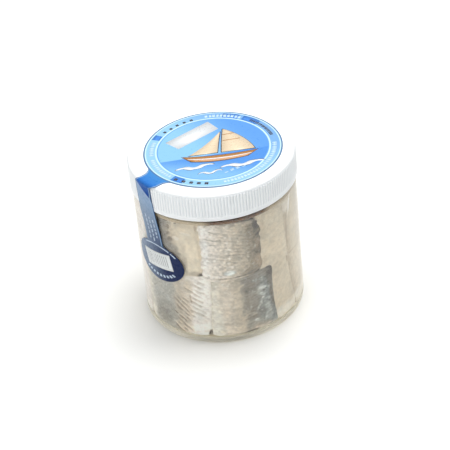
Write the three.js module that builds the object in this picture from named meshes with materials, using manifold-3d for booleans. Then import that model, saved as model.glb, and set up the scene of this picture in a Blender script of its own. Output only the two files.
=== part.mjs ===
// A round clear plastic jar packed with herring fillet pieces, its white ribbed screw lid, and the
// printed film label that lies on the lid, folds over its edge and runs down the side of the jar.
// Millimetres, +Z up, origin at the centre of the base. Angles are measured round the jar from the
// front (-Y) towards +X.

import * as THREE from 'three';
import { mergeVertices } from 'three/addons/utils/BufferGeometryUtils.js';
import Module from 'manifold-3d';

const wasm = await Module();
wasm.setup();

// Jar
const JAR_RADIUS = 45;
const WALL = 1.2;
const SHOULDER_HEIGHT = 83.2;
const NECK_RADIUS = 43.4;
const RIM_HEIGHT = 98.55;
const HEEL_RADIUS = 4.2;
const FOOT_WIDTH = 2.8;
const BASE_RECESS = 1.5;
const BASE_THICKNESS = 1.2;
const HEEL_STEPS = 4;
const INSIDE_HEEL_STEPS = 3;
const SHOULDER_BEVEL = new THREE.Vector2(0.3, 0.4);
const SHOULDER_RISE = 0.6;
const INSIDE_SHOULDER_DROP = 1.4;
const INSIDE_NECK_DROP = 0.2;

// Lid
const LID_RADIUS = 45.8;
const LID_BOTTOM = 84;
const LID_TOP = 100.15;
const LID_PLATE = 1.3;
const LID_SKIRT_INSIDE = 44.3;
const LID_EDGE_RADIUS = 1.7;
const LID_EDGE_STEPS = 3;
const LID_BAND_HEIGHT = 2.3;
const RIB_COUNT = 168;
const RIB_DEPTH = 0.45;
const RIB_RUNOUT = 0.3;

// Film label
const FILM = 0.25;
const FILM_GAP = 0.1;
const DISC_RADIUS = 37.8;
const DISC_OFFSET = new THREE.Vector2(1.05, -0.47);
const STRIP_ANGLE = -53.9;
const STRIP_LEFT = -5.9;
const STRIP_RIGHT = 8.5;
const SIDE_LEFT = -64.8;
const SIDE_RIGHT = -48.4;
const SIDE_LEAN = 7.2;
const STRIP_ROOT_RADIUS = 30;
const HIDDEN_STEP = 3;
const TOP_STEP = 1;
const BEND_STEPS = 4;
const BEND_EASE = 1.5;
const FLARE_LENGTH = 5;
const FLARE_WIDTH = 3.2;
const END_ANGLE = -50;
const END_HEIGHT = 50.2;
const END_HALF_ANGLE = 22.8;
const END_HALF_HEIGHT = 12.2;
const LANDING_HEIGHT = 66;
const HANGING_HEIGHTS = [94, 89, LID_BOTTOM, 79, 75, 71, LANDING_HEIGHT, 63];
const STRIP_COLUMNS = 8;
const OVAL_STEPS = 12;
const OVAL_FIRST_TURN = 66;
const OVAL_LAST_TURN = -85;

// Herring
const FACE_RADIUS = JAR_RADIUS - WALL - 0.5;
const PIECE_THICKNESS = 11;
const PIECE_SIDES = 14;
const PIECE_ROWS = 6;
const OUTLINE_POWER = 7;
const SECTION_POWER = 5;
const CORE_RADIUS = 38;
const CORE_BOTTOM = BASE_RECESS + BASE_THICKNESS + 0.4;
const CORE_TOP = 95.4;
const CORE_CHAMFER = 1.5;
const CORE_DOME = 0.6;
const NECK_CORE_RADIUS = NECK_RADIUS - WALL - 0.9;
const NECK_CORE_BEVEL = 3.5;
const ROW_TOP = 81.6;
const ROW_FLOOR = 4.6;
const ROW_TOP_TO_NECK = 0.8;
const ROW_TOP_TO_CORE = 3;

// Number of flats round each turned piece
const JAR_FLATS = 72;
const LID_FLATS = RIB_COUNT / 2;
const CORE_FLATS = 28;

const radians = THREE.MathUtils.degToRad;
const lerp = THREE.MathUtils.lerp;

// The point at an angle round the jar, a distance from its axis and a height.
function polar(angle, radius, z) {
  return [radius * Math.sin(radians(angle)), -radius * Math.cos(radians(angle)), z];
}

function closedGeometry(points, triangles) {
  const geometry = new THREE.BufferGeometry();
  geometry.setAttribute('position', new THREE.Float32BufferAttribute(points.flat(), 3));
  geometry.setIndex(triangles.flat());
  return geometry;
}

function toSolid(geometry) {
  const bare = geometry.clone();
  bare.deleteAttribute('normal');
  bare.deleteAttribute('uv');
  const merged = mergeVertices(bare, 1e-4);
  return new wasm.Manifold(
    new wasm.Mesh({
      numProp: 3,
      vertProperties: new Float32Array(merged.attributes.position.array),
      triVerts: new Uint32Array(merged.index.array),
    }),
  );
}

function toGeometry(solid) {
  const mesh = solid.getMesh();
  const geometry = new THREE.BufferGeometry();
  geometry.setAttribute('position', new THREE.BufferAttribute(new Float32Array(mesh.vertProperties), 3));
  geometry.setIndex(new THREE.BufferAttribute(new Uint32Array(mesh.triVerts), 1));
  return geometry;
}

// A profile of [radius, height] points turned about +Z. The profile starts and ends on the axis and
// runs outwards along the underside first.
function turned(profile, flats) {
  const points = profile.map(([radius, z]) => new THREE.Vector2(radius, z));
  return new THREE.LatheGeometry(points, flats).rotateX(Math.PI / 2);
}

// Points of a round corner about a centre, from one direction to another, in degrees.
function corner([radius, z], size, from, to, steps) {
  return Array.from({ length: steps + 1 }, (_, i) => {
    const angle = radians(lerp(from, to, i / steps));
    return [radius + size * Math.cos(angle), z + size * Math.sin(angle)];
  });
}

// A closed skin through level rings, from a point on the axis to another one. A ring has a count of
// points whose distances from the axis repeat its list of radii, and rings of different counts are
// stitched in step round the axis.
function ringSkin(firstHeight, rings, lastHeight) {
  const points = [[0, 0, firstHeight]];
  const triangles = [];
  const starts = rings.map(({ count, radii, z }) => {
    const start = points.length;
    for (let k = 0; k < count; k += 1) {
      points.push(polar((360 * k) / count, radii[k % radii.length], z));
    }
    return start;
  });
  points.push([0, 0, lastHeight]);
  const at = (ring, k) => starts[ring] + (k % rings[ring].count);
  const last = rings.length - 1;
  for (let k = 0; k < rings[0].count; k += 1) {
    triangles.push([0, at(0, k), at(0, k + 1)]);
  }
  for (let ring = 0; ring < last; ring += 1) {
    const upper = rings[ring].count;
    const lower = rings[ring + 1].count;
    let i = 0;
    let j = 0;
    while (i < upper || j < lower) {
      if (i < upper && (i + 1) * lower <= (j + 1) * upper) {
        triangles.push([at(ring, i), at(ring + 1, j), at(ring, i + 1)]);
        i += 1;
      } else {
        triangles.push([at(ring, i), at(ring + 1, j), at(ring + 1, j + 1)]);
        j += 1;
      }
    }
  }
  for (let k = 0; k < rings[last].count; k += 1) {
    triangles.push([points.length - 1, at(last, k + 1), at(last, k)]);
  }
  return closedGeometry(points, triangles);
}

function jarGeometry() {
  const insideRadius = JAR_RADIUS - WALL;
  const insideNeck = NECK_RADIUS - WALL;
  const footOuter = JAR_RADIUS - HEEL_RADIUS;
  const footInner = footOuter - FOOT_WIDTH;
  const floor = BASE_RECESS + BASE_THICKNESS;
  const insideHeel = HEEL_RADIUS - WALL;
  return turned(
    [
      [0, BASE_RECESS],
      [footInner - BASE_RECESS, BASE_RECESS],
      [footInner, 0],
      ...corner([footOuter, HEEL_RADIUS], HEEL_RADIUS, -90, 0, HEEL_STEPS),
      [JAR_RADIUS, SHOULDER_HEIGHT],
      [JAR_RADIUS - SHOULDER_BEVEL.x, SHOULDER_HEIGHT + SHOULDER_BEVEL.y],
      [NECK_RADIUS, SHOULDER_HEIGHT + SHOULDER_RISE],
      [NECK_RADIUS, RIM_HEIGHT],
      [insideNeck, RIM_HEIGHT],
      [insideNeck, SHOULDER_HEIGHT - INSIDE_NECK_DROP],
      [insideRadius, SHOULDER_HEIGHT - INSIDE_SHOULDER_DROP],
      ...corner([insideRadius - insideHeel, floor + insideHeel], insideHeel, 0, -90, INSIDE_HEEL_STEPS),
      [0, floor],
    ],
    JAR_FLATS,
  );
}

function lidGeometry() {
  const edge = corner(
    [LID_RADIUS - RIB_DEPTH - LID_EDGE_RADIUS, LID_TOP - LID_EDGE_RADIUS],
    LID_EDGE_RADIUS,
    90,
    0,
    LID_EDGE_STEPS,
  );
  const ribTop = LID_TOP - LID_EDGE_RADIUS - RIB_RUNOUT;
  const bandTop = LID_BOTTOM + LID_BAND_HEIGHT;
  const under = LID_TOP - LID_PLATE;
  const plain = (radius, z) => ({ count: LID_FLATS, radii: [radius], z });
  const ribbed = (z) => ({ count: 2 * RIB_COUNT, radii: [LID_RADIUS, LID_RADIUS - RIB_DEPTH], z });
  return ringSkin(
    LID_TOP,
    [
      ...edge.map(([radius, z]) => plain(radius, z)),
      ribbed(ribTop),
      ribbed(bandTop + RIB_RUNOUT),
      plain(LID_RADIUS, bandTop),
      plain(LID_RADIUS, LID_BOTTOM),
      plain(LID_SKIRT_INSIDE, LID_BOTTOM),
      plain(LID_SKIRT_INSIDE, under),
    ],
    under,
  );
}

// Both edges of the strip where it leaves the disc, as angles at a distance from the axis. The edges
// are parallel, and flare out in a curve where they meet the disc.
function stripOnTop(radius) {
  const away = THREE.MathUtils.clamp(1 - (radius - DISC_RADIUS + 1) / FLARE_LENGTH, 0, 1);
  const flare = FLARE_WIDTH * away ** 2.5;
  return [
    STRIP_ANGLE + THREE.MathUtils.radToDeg(Math.asin((STRIP_LEFT - flare) / radius)),
    STRIP_ANGLE + THREE.MathUtils.radToDeg(Math.asin((STRIP_RIGHT + flare) / radius)),
  ];
}

// Both edges of the label down the side, as angles at a height: the strip, which leans a little to
// the right as it goes down, and the oval at its end.
function stripOnSide(z) {
  const down = (LID_TOP - z) / (LID_TOP - END_HEIGHT);
  const left = SIDE_LEFT + SIDE_LEAN * down;
  const right = SIDE_RIGHT + SIDE_LEAN * down;
  const across = Math.sqrt(Math.max(0, 1 - ((z - END_HEIGHT) / END_HALF_HEIGHT) ** 2));
  if (z <= END_HEIGHT) {
    return [END_ANGLE - END_HALF_ANGLE * across, END_ANGLE + END_HALF_ANGLE * across];
  }
  return [
    Math.min(left, END_ANGLE - END_HALF_ANGLE * across),
    Math.max(right, END_ANGLE + END_HALF_ANGLE * across),
  ];
}

// Stations along the strip: distance from the axis and height of the film's inner face, the slope of
// its outward direction above level, and its two edges. From the lid's foot the film hangs free and
// curves in to the wall at the landing height.
function stripStations() {
  const top = LID_TOP + FILM_GAP;
  const side = LID_RADIUS + FILM_GAP;
  const bend = LID_EDGE_RADIUS + FILM_GAP;
  const stations = [];
  let radius = STRIP_ROOT_RADIUS;
  while (radius < side - bend) {
    stations.push({ radius, z: top, slope: 90, edges: stripOnTop(radius) });
    radius += radius < DISC_RADIUS - TOP_STEP ? HIDDEN_STEP : TOP_STEP;
  }
  const sideEdges = stripOnSide(top - bend);
  const topEdges = stripOnTop(side - bend);
  for (const [k, point] of corner([side - bend, top - bend], bend, 90, 0, BEND_STEPS).entries()) {
    const share = k / BEND_STEPS;
    const edges = topEdges.map((angle, i) => lerp(angle, sideEdges[i], share ** BEND_EASE));
    stations.push({ radius: point[0], z: point[1], slope: lerp(90, 0, share), edges });
  }
  const jarFace = JAR_RADIUS + FILM_GAP;
  const oval = Array.from({ length: OVAL_STEPS + 1 }, (_, k) => {
    const turn = radians(lerp(OVAL_FIRST_TURN, OVAL_LAST_TURN, k / OVAL_STEPS));
    return END_HEIGHT + END_HALF_HEIGHT * Math.sin(turn);
  });
  for (const z of [...HANGING_HEIGHTS, ...oval]) {
    const clear = THREE.MathUtils.smoothstep(z, LANDING_HEIGHT, LID_BOTTOM);
    stations.push({ radius: lerp(jarFace, side, clear), z, slope: 0, edges: stripOnSide(z) });
  }
  return stations;
}

// The film along the strip, a sheet with an inner and an outer face joined round its rim.
function stripGeometry() {
  const columns = STRIP_COLUMNS;
  const points = [];
  const triangles = [];
  const stations = stripStations();
  for (const { radius, z, slope, edges } of stations) {
    for (const depth of [0, FILM]) {
      const out = depth * Math.cos(radians(slope));
      const up = depth * Math.sin(radians(slope));
      for (let i = 0; i <= columns; i += 1) {
        points.push(polar(lerp(edges[0], edges[1], i / columns), radius + out, z + up));
      }
    }
  }
  const at = (station, face, i) => (station * 2 + face) * (columns + 1) + i;
  const quad = (a, b, c, d) => triangles.push([a, b, c], [a, c, d]);
  const last = stations.length - 1;
  for (let k = 0; k < last; k += 1) {
    for (let i = 0; i < columns; i += 1) {
      quad(at(k, 1, i), at(k + 1, 1, i), at(k + 1, 1, i + 1), at(k, 1, i + 1));
      quad(at(k, 0, i), at(k, 0, i + 1), at(k + 1, 0, i + 1), at(k + 1, 0, i));
    }
    quad(at(k, 0, 0), at(k + 1, 0, 0), at(k + 1, 1, 0), at(k, 1, 0));
    quad(at(k, 0, columns), at(k, 1, columns), at(k + 1, 1, columns), at(k + 1, 0, columns));
  }
  for (let i = 0; i < columns; i += 1) {
    quad(at(0, 0, i), at(0, 1, i), at(0, 1, i + 1), at(0, 0, i + 1));
    quad(at(last, 0, i), at(last, 0, i + 1), at(last, 1, i + 1), at(last, 1, i));
  }
  return closedGeometry(points, triangles);
}

function labelGeometry() {
  const disc = new THREE.CylinderGeometry(DISC_RADIUS, DISC_RADIUS, FILM, JAR_FLATS)
    .rotateX(Math.PI / 2)
    .translate(DISC_OFFSET.x, DISC_OFFSET.y, LID_TOP + FILM_GAP + FILM / 2);
  return toGeometry(toSolid(disc).add(toSolid(stripGeometry())));
}

// The pieces that show against the wall, each by the angles and heights of its corners: lower left,
// lower right, upper right, upper left.
const UPPER_PIECES = [
  [[-62, 46.8], [-16.8, 46.4], [-16, ROW_TOP], [-62, ROW_TOP]],
  [[-15, 43], [30, 44.6], [28.6, ROW_TOP], [-15.2, ROW_TOP]],
  [[31, 44.8], [55, 45], [54, ROW_TOP - 0.4], [30, ROW_TOP]],
  [[56.5, 45.6], [97, 44.4], [96, ROW_TOP - 1], [55.5, ROW_TOP - 0.4]],
  [[98.5, 45.5], [139, 46.5], [141, ROW_TOP], [97.5, ROW_TOP]],
  [[140.5, 45], [184, 44], [182, ROW_TOP - 0.6], [142.5, ROW_TOP]],
  [[185.5, 45], [222, 46.8], [224, ROW_TOP], [183.5, ROW_TOP]],
  [[223.5, 46.6], [260, 45.4], [259, ROW_TOP - 0.8], [225.5, ROW_TOP]],
  [[261.5, 45], [296.5, 46], [296.5, ROW_TOP], [260.5, ROW_TOP]],
];
const LOWER_PIECES = [
  [[-67.5, ROW_FLOOR], [-13.5, ROW_FLOOR], [-10, 45.2], [-67.5, 45.6]],
  [[-11.5, ROW_FLOOR], [40, ROW_FLOOR], [38, 43.6], [-8.6, 42]],
  [[41.5, ROW_FLOOR], [62, ROW_FLOOR], [55, 43.8], [39.5, 43.8]],
  [[63.5, ROW_FLOOR], [101, ROW_FLOOR], [98, 43.4], [56.5, 44.2]],
  [[102.5, ROW_FLOOR], [139, ROW_FLOOR], [137, 45], [99.5, 44.4]],
  [[140.5, ROW_FLOOR], [176, ROW_FLOOR], [178.5, 43], [138.5, 45]],
  [[177.5, ROW_FLOOR], [215, ROW_FLOOR], [213, 45.6], [180, 43.8]],
  [[216.5, ROW_FLOOR], [252, ROW_FLOOR], [250, 45], [214.5, 45.4]],
  [[253.5, ROW_FLOOR], [291, ROW_FLOOR], [291, 44.6], [251.5, 44.2]],
];

// A cosine or sine with its sign kept and its size raised to 2 / power, so that a circle becomes a
// square with rounded corners, the more square the higher the power.
function squared(value, power) {
  return Math.sign(value) * Math.abs(value) ** (2 / power);
}

// One fillet piece: a slab bent to the wall, with rounded corners to its outline and its section.
function pieceGeometry([lowerLeft, lowerRight, upperRight, upperLeft]) {
  const around = PIECE_SIDES;
  const rows = PIECE_ROWS;
  const place = (across, up, depth) => {
    const low = [0, 1].map((i) => lerp(lowerLeft[i], lowerRight[i], (1 + across) / 2));
    const high = [0, 1].map((i) => lerp(upperLeft[i], upperRight[i], (1 + across) / 2));
    const radius = FACE_RADIUS - (PIECE_THICKNESS * (1 - depth)) / 2;
    return polar(lerp(low[0], high[0], (1 + up) / 2), radius, lerp(low[1], high[1], (1 + up) / 2));
  };
  const points = [place(0, -1, 0)];
  for (let row = 1; row < rows; row += 1) {
    const tilt = radians(lerp(-90, 90, row / rows));
    const width = squared(Math.cos(tilt), OUTLINE_POWER);
    const up = squared(Math.sin(tilt), OUTLINE_POWER);
    for (let k = 0; k < around; k += 1) {
      const turn = (2 * Math.PI * k) / around;
      const across = width * squared(Math.cos(turn), SECTION_POWER);
      const depth = -width * squared(Math.sin(turn), SECTION_POWER);
      points.push(place(across, up, depth));
    }
  }
  points.push(place(0, 1, 0));
  const at = (row, k) => 1 + (row - 1) * around + (k % around);
  const triangles = [];
  for (let k = 0; k < around; k += 1) {
    triangles.push([0, at(1, k + 1), at(1, k)]);
    for (let row = 1; row < rows - 1; row += 1) {
      triangles.push([at(row, k), at(row, k + 1), at(row + 1, k + 1)]);
      triangles.push([at(row, k), at(row + 1, k + 1), at(row + 1, k)]);
    }
    triangles.push([points.length - 1, at(rows - 1, k), at(rows - 1, k + 1)]);
  }
  return closedGeometry(points, triangles);
}

function herringGeometry() {
  const core = turned(
    [
      [0, CORE_BOTTOM],
      [CORE_RADIUS - CORE_CHAMFER, CORE_BOTTOM],
      [CORE_RADIUS, CORE_BOTTOM + CORE_CHAMFER],
      [CORE_RADIUS, ROW_TOP - ROW_TOP_TO_CORE],
      [NECK_CORE_RADIUS, ROW_TOP + ROW_TOP_TO_NECK],
      [NECK_CORE_RADIUS, CORE_TOP - NECK_CORE_BEVEL],
      [CORE_RADIUS, CORE_TOP],
      [0, CORE_TOP + CORE_DOME],
    ],
    CORE_FLATS,
  );
  let heap = toSolid(core);
  for (const corners of [...UPPER_PIECES, ...LOWER_PIECES]) {
    heap = heap.add(toSolid(pieceGeometry(corners)));
  }
  return toGeometry(heap);
}

function part(name, geometry, finish) {
  const mesh = new THREE.Mesh(geometry, new THREE.MeshStandardMaterial(finish));
  mesh.name = name;
  return mesh;
}

const herringJar = new THREE.Group();
herringJar.add(
  part('jar', jarGeometry(), { color: 0xe9ede8, roughness: 0.05, opacity: 0.4, transparent: true }),
  part('lid', lidGeometry(), { color: 0xf4f5f5, roughness: 0.4 }),
  part('label', labelGeometry(), { color: 0x4f9be0, roughness: 0.25 }),
  part('herring', herringGeometry(), { color: 0xcfc2ae, roughness: 0.35 }),
);

export default herringJar;
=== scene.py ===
"""A round clear jar of herring fillet pieces in oil, with its white ribbed lid and printed film label.

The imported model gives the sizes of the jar, the lid and the label. Angles are measured round the jar
in degrees, from the front (-Y) towards +X, and sizes are in millimetres until a mesh is made. The
materials read their places in metres.
"""

import logging
import math
from dataclasses import dataclass, field
from enum import Enum

import bpy
import numpy as np
from bpy.types import Material, Node, NodeSocket, NodeTree, Object
from mathutils import Matrix, Vector


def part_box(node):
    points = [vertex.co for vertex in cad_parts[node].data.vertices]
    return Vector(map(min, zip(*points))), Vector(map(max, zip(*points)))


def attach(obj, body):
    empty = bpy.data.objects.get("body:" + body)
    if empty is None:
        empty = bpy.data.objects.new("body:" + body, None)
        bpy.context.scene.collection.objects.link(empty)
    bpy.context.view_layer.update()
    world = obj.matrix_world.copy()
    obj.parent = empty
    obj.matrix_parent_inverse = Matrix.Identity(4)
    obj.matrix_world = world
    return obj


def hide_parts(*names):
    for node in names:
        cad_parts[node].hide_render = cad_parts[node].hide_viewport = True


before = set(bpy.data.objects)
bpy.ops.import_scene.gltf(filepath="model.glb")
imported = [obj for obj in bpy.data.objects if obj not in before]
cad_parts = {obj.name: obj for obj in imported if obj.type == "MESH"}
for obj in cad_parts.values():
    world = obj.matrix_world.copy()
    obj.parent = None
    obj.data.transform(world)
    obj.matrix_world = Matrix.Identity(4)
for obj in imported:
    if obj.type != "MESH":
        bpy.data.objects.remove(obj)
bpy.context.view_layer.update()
LOG = logging.getLogger("herring_jar")
MM = 0.001
BODY = "root"
# The radius at which angles on the wall are measured as lengths, and the length of a degree there.
WALL_RADIUS = 43.5
DEGREE = 0.76

Array = np.ndarray
Colour = tuple[float, float, float, float]
Pair = tuple[float, float]
Corners = tuple[Pair, ...]
Ramp = tuple[tuple[float, tuple[int, int, int]], ...]


def cad_box(node: str) -> tuple[Array, Array]:
    """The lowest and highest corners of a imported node, in millimetres.

    Args:
        node: The node's name.

    Returns:
        Both corners as arrays of three numbers.
    """
    low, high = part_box(node)
    return np.array(low) / MM, np.array(high) / MM


def srgb(red: float, green: float, blue: float) -> Colour:
    """A linear colour from display values between 0 and 255, by a power of 2.2."""
    return tuple((value / 255) ** 2.2 for value in (red, green, blue)) + (1.0,)


def arc_length(angle: Array, radius: float = WALL_RADIUS) -> Array:
    """The length round the jar that an angle in degrees spans at a radius."""
    return angle * np.pi / 180 * radius


def polar(angle: Array, radius: Array, z: Array) -> Array:
    """Points round the jar: x is radius times sine, y is minus radius times cosine.

    Args:
        angle: Angles in degrees.
        radius: Distances from the axis.
        z: Heights.

    Returns:
        An array with x, y and z along its last axis.
    """
    turn = np.radians(angle)
    return np.stack(np.broadcast_arrays(radius * np.sin(turn), -radius * np.cos(turn), z), axis=-1)


def smoothstep(low: float, high: float, value: Array) -> Array:
    """0 below low, 1 above high, and 3t² - 2t³ between them."""
    share = np.clip((value - low) / (high - low), 0, 1)
    return share * share * (3 - 2 * share)


def window(low: float, high: float, soft: float, value: Array) -> Array:
    """1 between low and high and 0 outside them, with borders that are soft to both sides."""
    return smoothstep(low - soft, low + soft, value) * (1 - smoothstep(high - soft, high + soft, value))


def signed_power(value: Array, power: float) -> Array:
    """A value raised to a power, with its sign kept."""
    return np.sign(value) * np.abs(value) ** power


def lattice_noise(across: Array, up: Array, seed: int) -> Array:
    """Smooth noise from 0 to 1.

    Each point of a unit lattice gets a number by mixing the bits of its two indices and the seed, and
    a place between four of them blends these by smoothstep.

    Args:
        across: First coordinate, in lattice steps.
        up: Second coordinate, in lattice steps.
        seed: Picks the pattern.

    Returns:
        The noise at each place.
    """
    column, row = np.floor(across).astype(np.int64), np.floor(up).astype(np.int64)
    right, above = smoothstep(0, 1, across - column), smoothstep(0, 1, up - row)

    def at(i: Array, j: Array) -> Array:
        """The lattice's own number at column i and row j."""
        mixed = (i * 374761393 + j * 668265263 + seed * 974634777) & 0xFFFFFFFF
        mixed = ((mixed ^ (mixed >> 13)) * 1274126177) & 0xFFFFFFFF
        return ((mixed ^ (mixed >> 16)) & 0xFFFFFF) / 0xFFFFFF

    low = at(column, row) * (1 - right) + at(column + 1, row) * right
    high = at(column, row + 1) * (1 - right) + at(column + 1, row + 1) * right
    return low * (1 - above) + high * above


def layered_noise(across: Array, up: Array, size: float, seed: int, layers: int = 3) -> Array:
    """Noise from -1 to 1 in layers, each half the size and half the strength of the one before.

    Args:
        across: First coordinate, in millimetres.
        up: Second coordinate, in millimetres.
        size: Size of the largest blots.
        seed: Picks the pattern.
        layers: Number of layers.

    Returns:
        The noise at each place.
    """
    total = np.zeros(np.broadcast(across, up).shape)
    for layer in range(layers):
        scale = 2**layer / size
        total += (2 * lattice_noise(across * scale, up * scale, seed + layer) - 1) / 2**layer
    return total / (2 - 2 ** (1 - layers))


def grid_quads(rows: int, columns: int, wrap: bool) -> Array:
    """The quads of a grid of points held row by row, wound from this column to the next, then up.

    Args:
        rows: Number of rows of points.
        columns: Number of points in a row.
        wrap: Whether the last column joins the first.

    Returns:
        Four indices for each quad.
    """
    row = np.arange(rows - 1)[:, None]
    column = np.arange(columns if wrap else columns - 1)[None, :]
    after = (column + 1) % columns
    below, above = row * columns, (row + 1) * columns
    corners = [below + column, below + after, above + after, above + column]
    return np.stack(corners, axis=-1).reshape(-1, 4)


def pole_fans(rows: int, columns: int) -> Array:
    """The triangles that close a round grid of points by a foot point and a head point held after it.

    Args:
        rows: Number of rows of points.
        columns: Number of points in a row.

    Returns:
        Three indices for each triangle, the pole's first.
    """
    here, after = np.arange(columns), (np.arange(columns) + 1) % columns
    foot = np.stack([np.full(columns, rows * columns), after, here], axis=-1)
    last = (rows - 1) * columns
    head = np.stack([np.full(columns, rows * columns + 1), last + here, last + after], axis=-1)
    return np.concatenate([foot, head])


def make_mesh(name: str, points: Array, quads: Array, triangles: Array | None = None) -> Object:
    """A smooth mesh object at the origin.

    Args:
        name: The object's name.
        points: Vertices in millimetres.
        quads: Four indices for each quad.
        triangles: Three indices for each triangle, if there are any.

    Returns:
        The new object, in the scene.
    """
    triangles = np.zeros((0, 3), int) if triangles is None else triangles
    sides = np.concatenate([np.full(len(quads), 4), np.full(len(triangles), 3)])
    corners = np.concatenate([np.asarray(quads).ravel(), np.asarray(triangles).ravel()])
    mesh = bpy.data.meshes.new(name)
    mesh.vertices.add(len(points))
    mesh.vertices.foreach_set("co", (np.asarray(points, np.float32) * MM).ravel())
    mesh.loops.add(len(corners))
    mesh.loops.foreach_set("vertex_index", corners.astype(np.int32))
    mesh.polygons.add(len(sides))
    mesh.polygons.foreach_set("loop_start", (np.cumsum(sides) - sides).astype(np.int32))
    mesh.polygons.foreach_set("use_smooth", np.ones(len(sides), bool))
    mesh.update(calc_edges=True)
    mesh.validate()
    piece = bpy.data.objects.new(name, mesh)
    bpy.context.scene.collection.objects.link(piece)
    return piece


def braced(profile: Array, margin: float = 0.3) -> Array:
    """A profile with points added near its corners, so that smooth shading bends only there.

    Args:
        profile: The profile's points.
        margin: How far from the corners the points are. A side up to four times as long gets none.

    Returns:
        The profile with its new points.
    """
    start, stop = profile[:-1], profile[1:]
    side = stop - start
    length = np.hypot(side[:, 0], side[:, 1])
    long = length > 4 * margin
    step = side * (margin / np.maximum(length, 4 * margin))[:, None]
    points = np.stack([start, start + step, stop - step], axis=1)
    kept = np.stack([np.ones_like(long), long, long], axis=1)
    return np.concatenate([points[kept], profile[-1:]])


def turned(name: str, profile: Array, flats: int) -> Object:
    """A profile of radius and height turned about the axis, closed by a fan at each pole.

    Args:
        name: The object's name.
        profile: Points that start and end on the axis and run outwards along the underside first.
        flats: Number of flats round the axis.

    Returns:
        The new object.
    """
    profile = braced(profile)
    angle = np.arange(flats) * 360 / flats
    rings = polar(angle[None, :], profile[1:-1, :1], profile[1:-1, 1:])
    rows = len(rings)
    points = np.concatenate([rings.reshape(-1, 3), [[0, 0, profile[0, 1]], [0, 0, profile[-1, 1]]]])
    return make_mesh(name, points, grid_quads(rows, flats, True), pole_fans(rows, flats))


@dataclass
class Sheets:
    """Thin closed sheets gathered into one mesh."""

    points: list[Array] = field(default_factory=list)
    quads: list[Array] = field(default_factory=list)

    def add(self, outer: Array, inner: Array) -> None:
        """Adds a sheet: an outer and an inner grid of points, joined round their rims.

        Args:
            outer: Rows of points that run upwards, each from left to right as seen from outside.
            inner: The same rows, one thickness further in.
        """
        rows, columns = outer.shape[:2]
        count = rows * columns
        first = sum(len(part) for part in self.points)
        face = grid_quads(rows, columns, False)
        index = np.arange(count).reshape(rows, columns)
        rim = np.concatenate([index[0, :-1], index[:-1, -1], index[-1, :0:-1], index[:0:-1, 0]])
        after = np.roll(rim, -1)
        side = np.stack([rim, rim + count, after + count, after], axis=-1)
        self.points.append(np.concatenate([outer.reshape(-1, 3), inner.reshape(-1, 3)]))
        self.quads.append(np.concatenate([face, face[:, ::-1] + count, side]) + first)

    def build(self, name: str) -> Object:
        """Makes one mesh object of all sheets."""
        return make_mesh(name, np.concatenate(self.points), np.concatenate(self.quads))


def set_uv(piece: Object, uv: Array) -> None:
    """Gives a piece a UV map named flat.

    Args:
        piece: The piece.
        uv: A pair of numbers for each vertex.
    """
    mesh = piece.data
    corner = np.zeros(len(mesh.loops), np.int32)
    mesh.loops.foreach_get("vertex_index", corner)
    layer = mesh.uv_layers.new(name="flat")
    layer.data.foreach_set("uv", np.asarray(uv, np.float32)[corner].ravel())


def set_numbers(piece: Object, name: str, values: Array) -> None:
    """Gives a piece an attribute with one number for each vertex."""
    layer = piece.data.attributes.new(name, "FLOAT", "POINT")
    layer.data.foreach_set("value", values.astype(np.float32))


def dress(piece: Object, material: Material, slot: str, *nodes: str) -> Object:
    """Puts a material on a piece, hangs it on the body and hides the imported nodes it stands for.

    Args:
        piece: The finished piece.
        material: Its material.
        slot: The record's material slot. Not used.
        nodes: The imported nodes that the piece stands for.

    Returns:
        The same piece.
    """
    piece.data.materials.append(material)
    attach(piece, BODY)
    if nodes:
        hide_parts(*nodes)
    LOG.info("%s: %d faces", piece.name, len(piece.data.polygons))
    return piece


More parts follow.
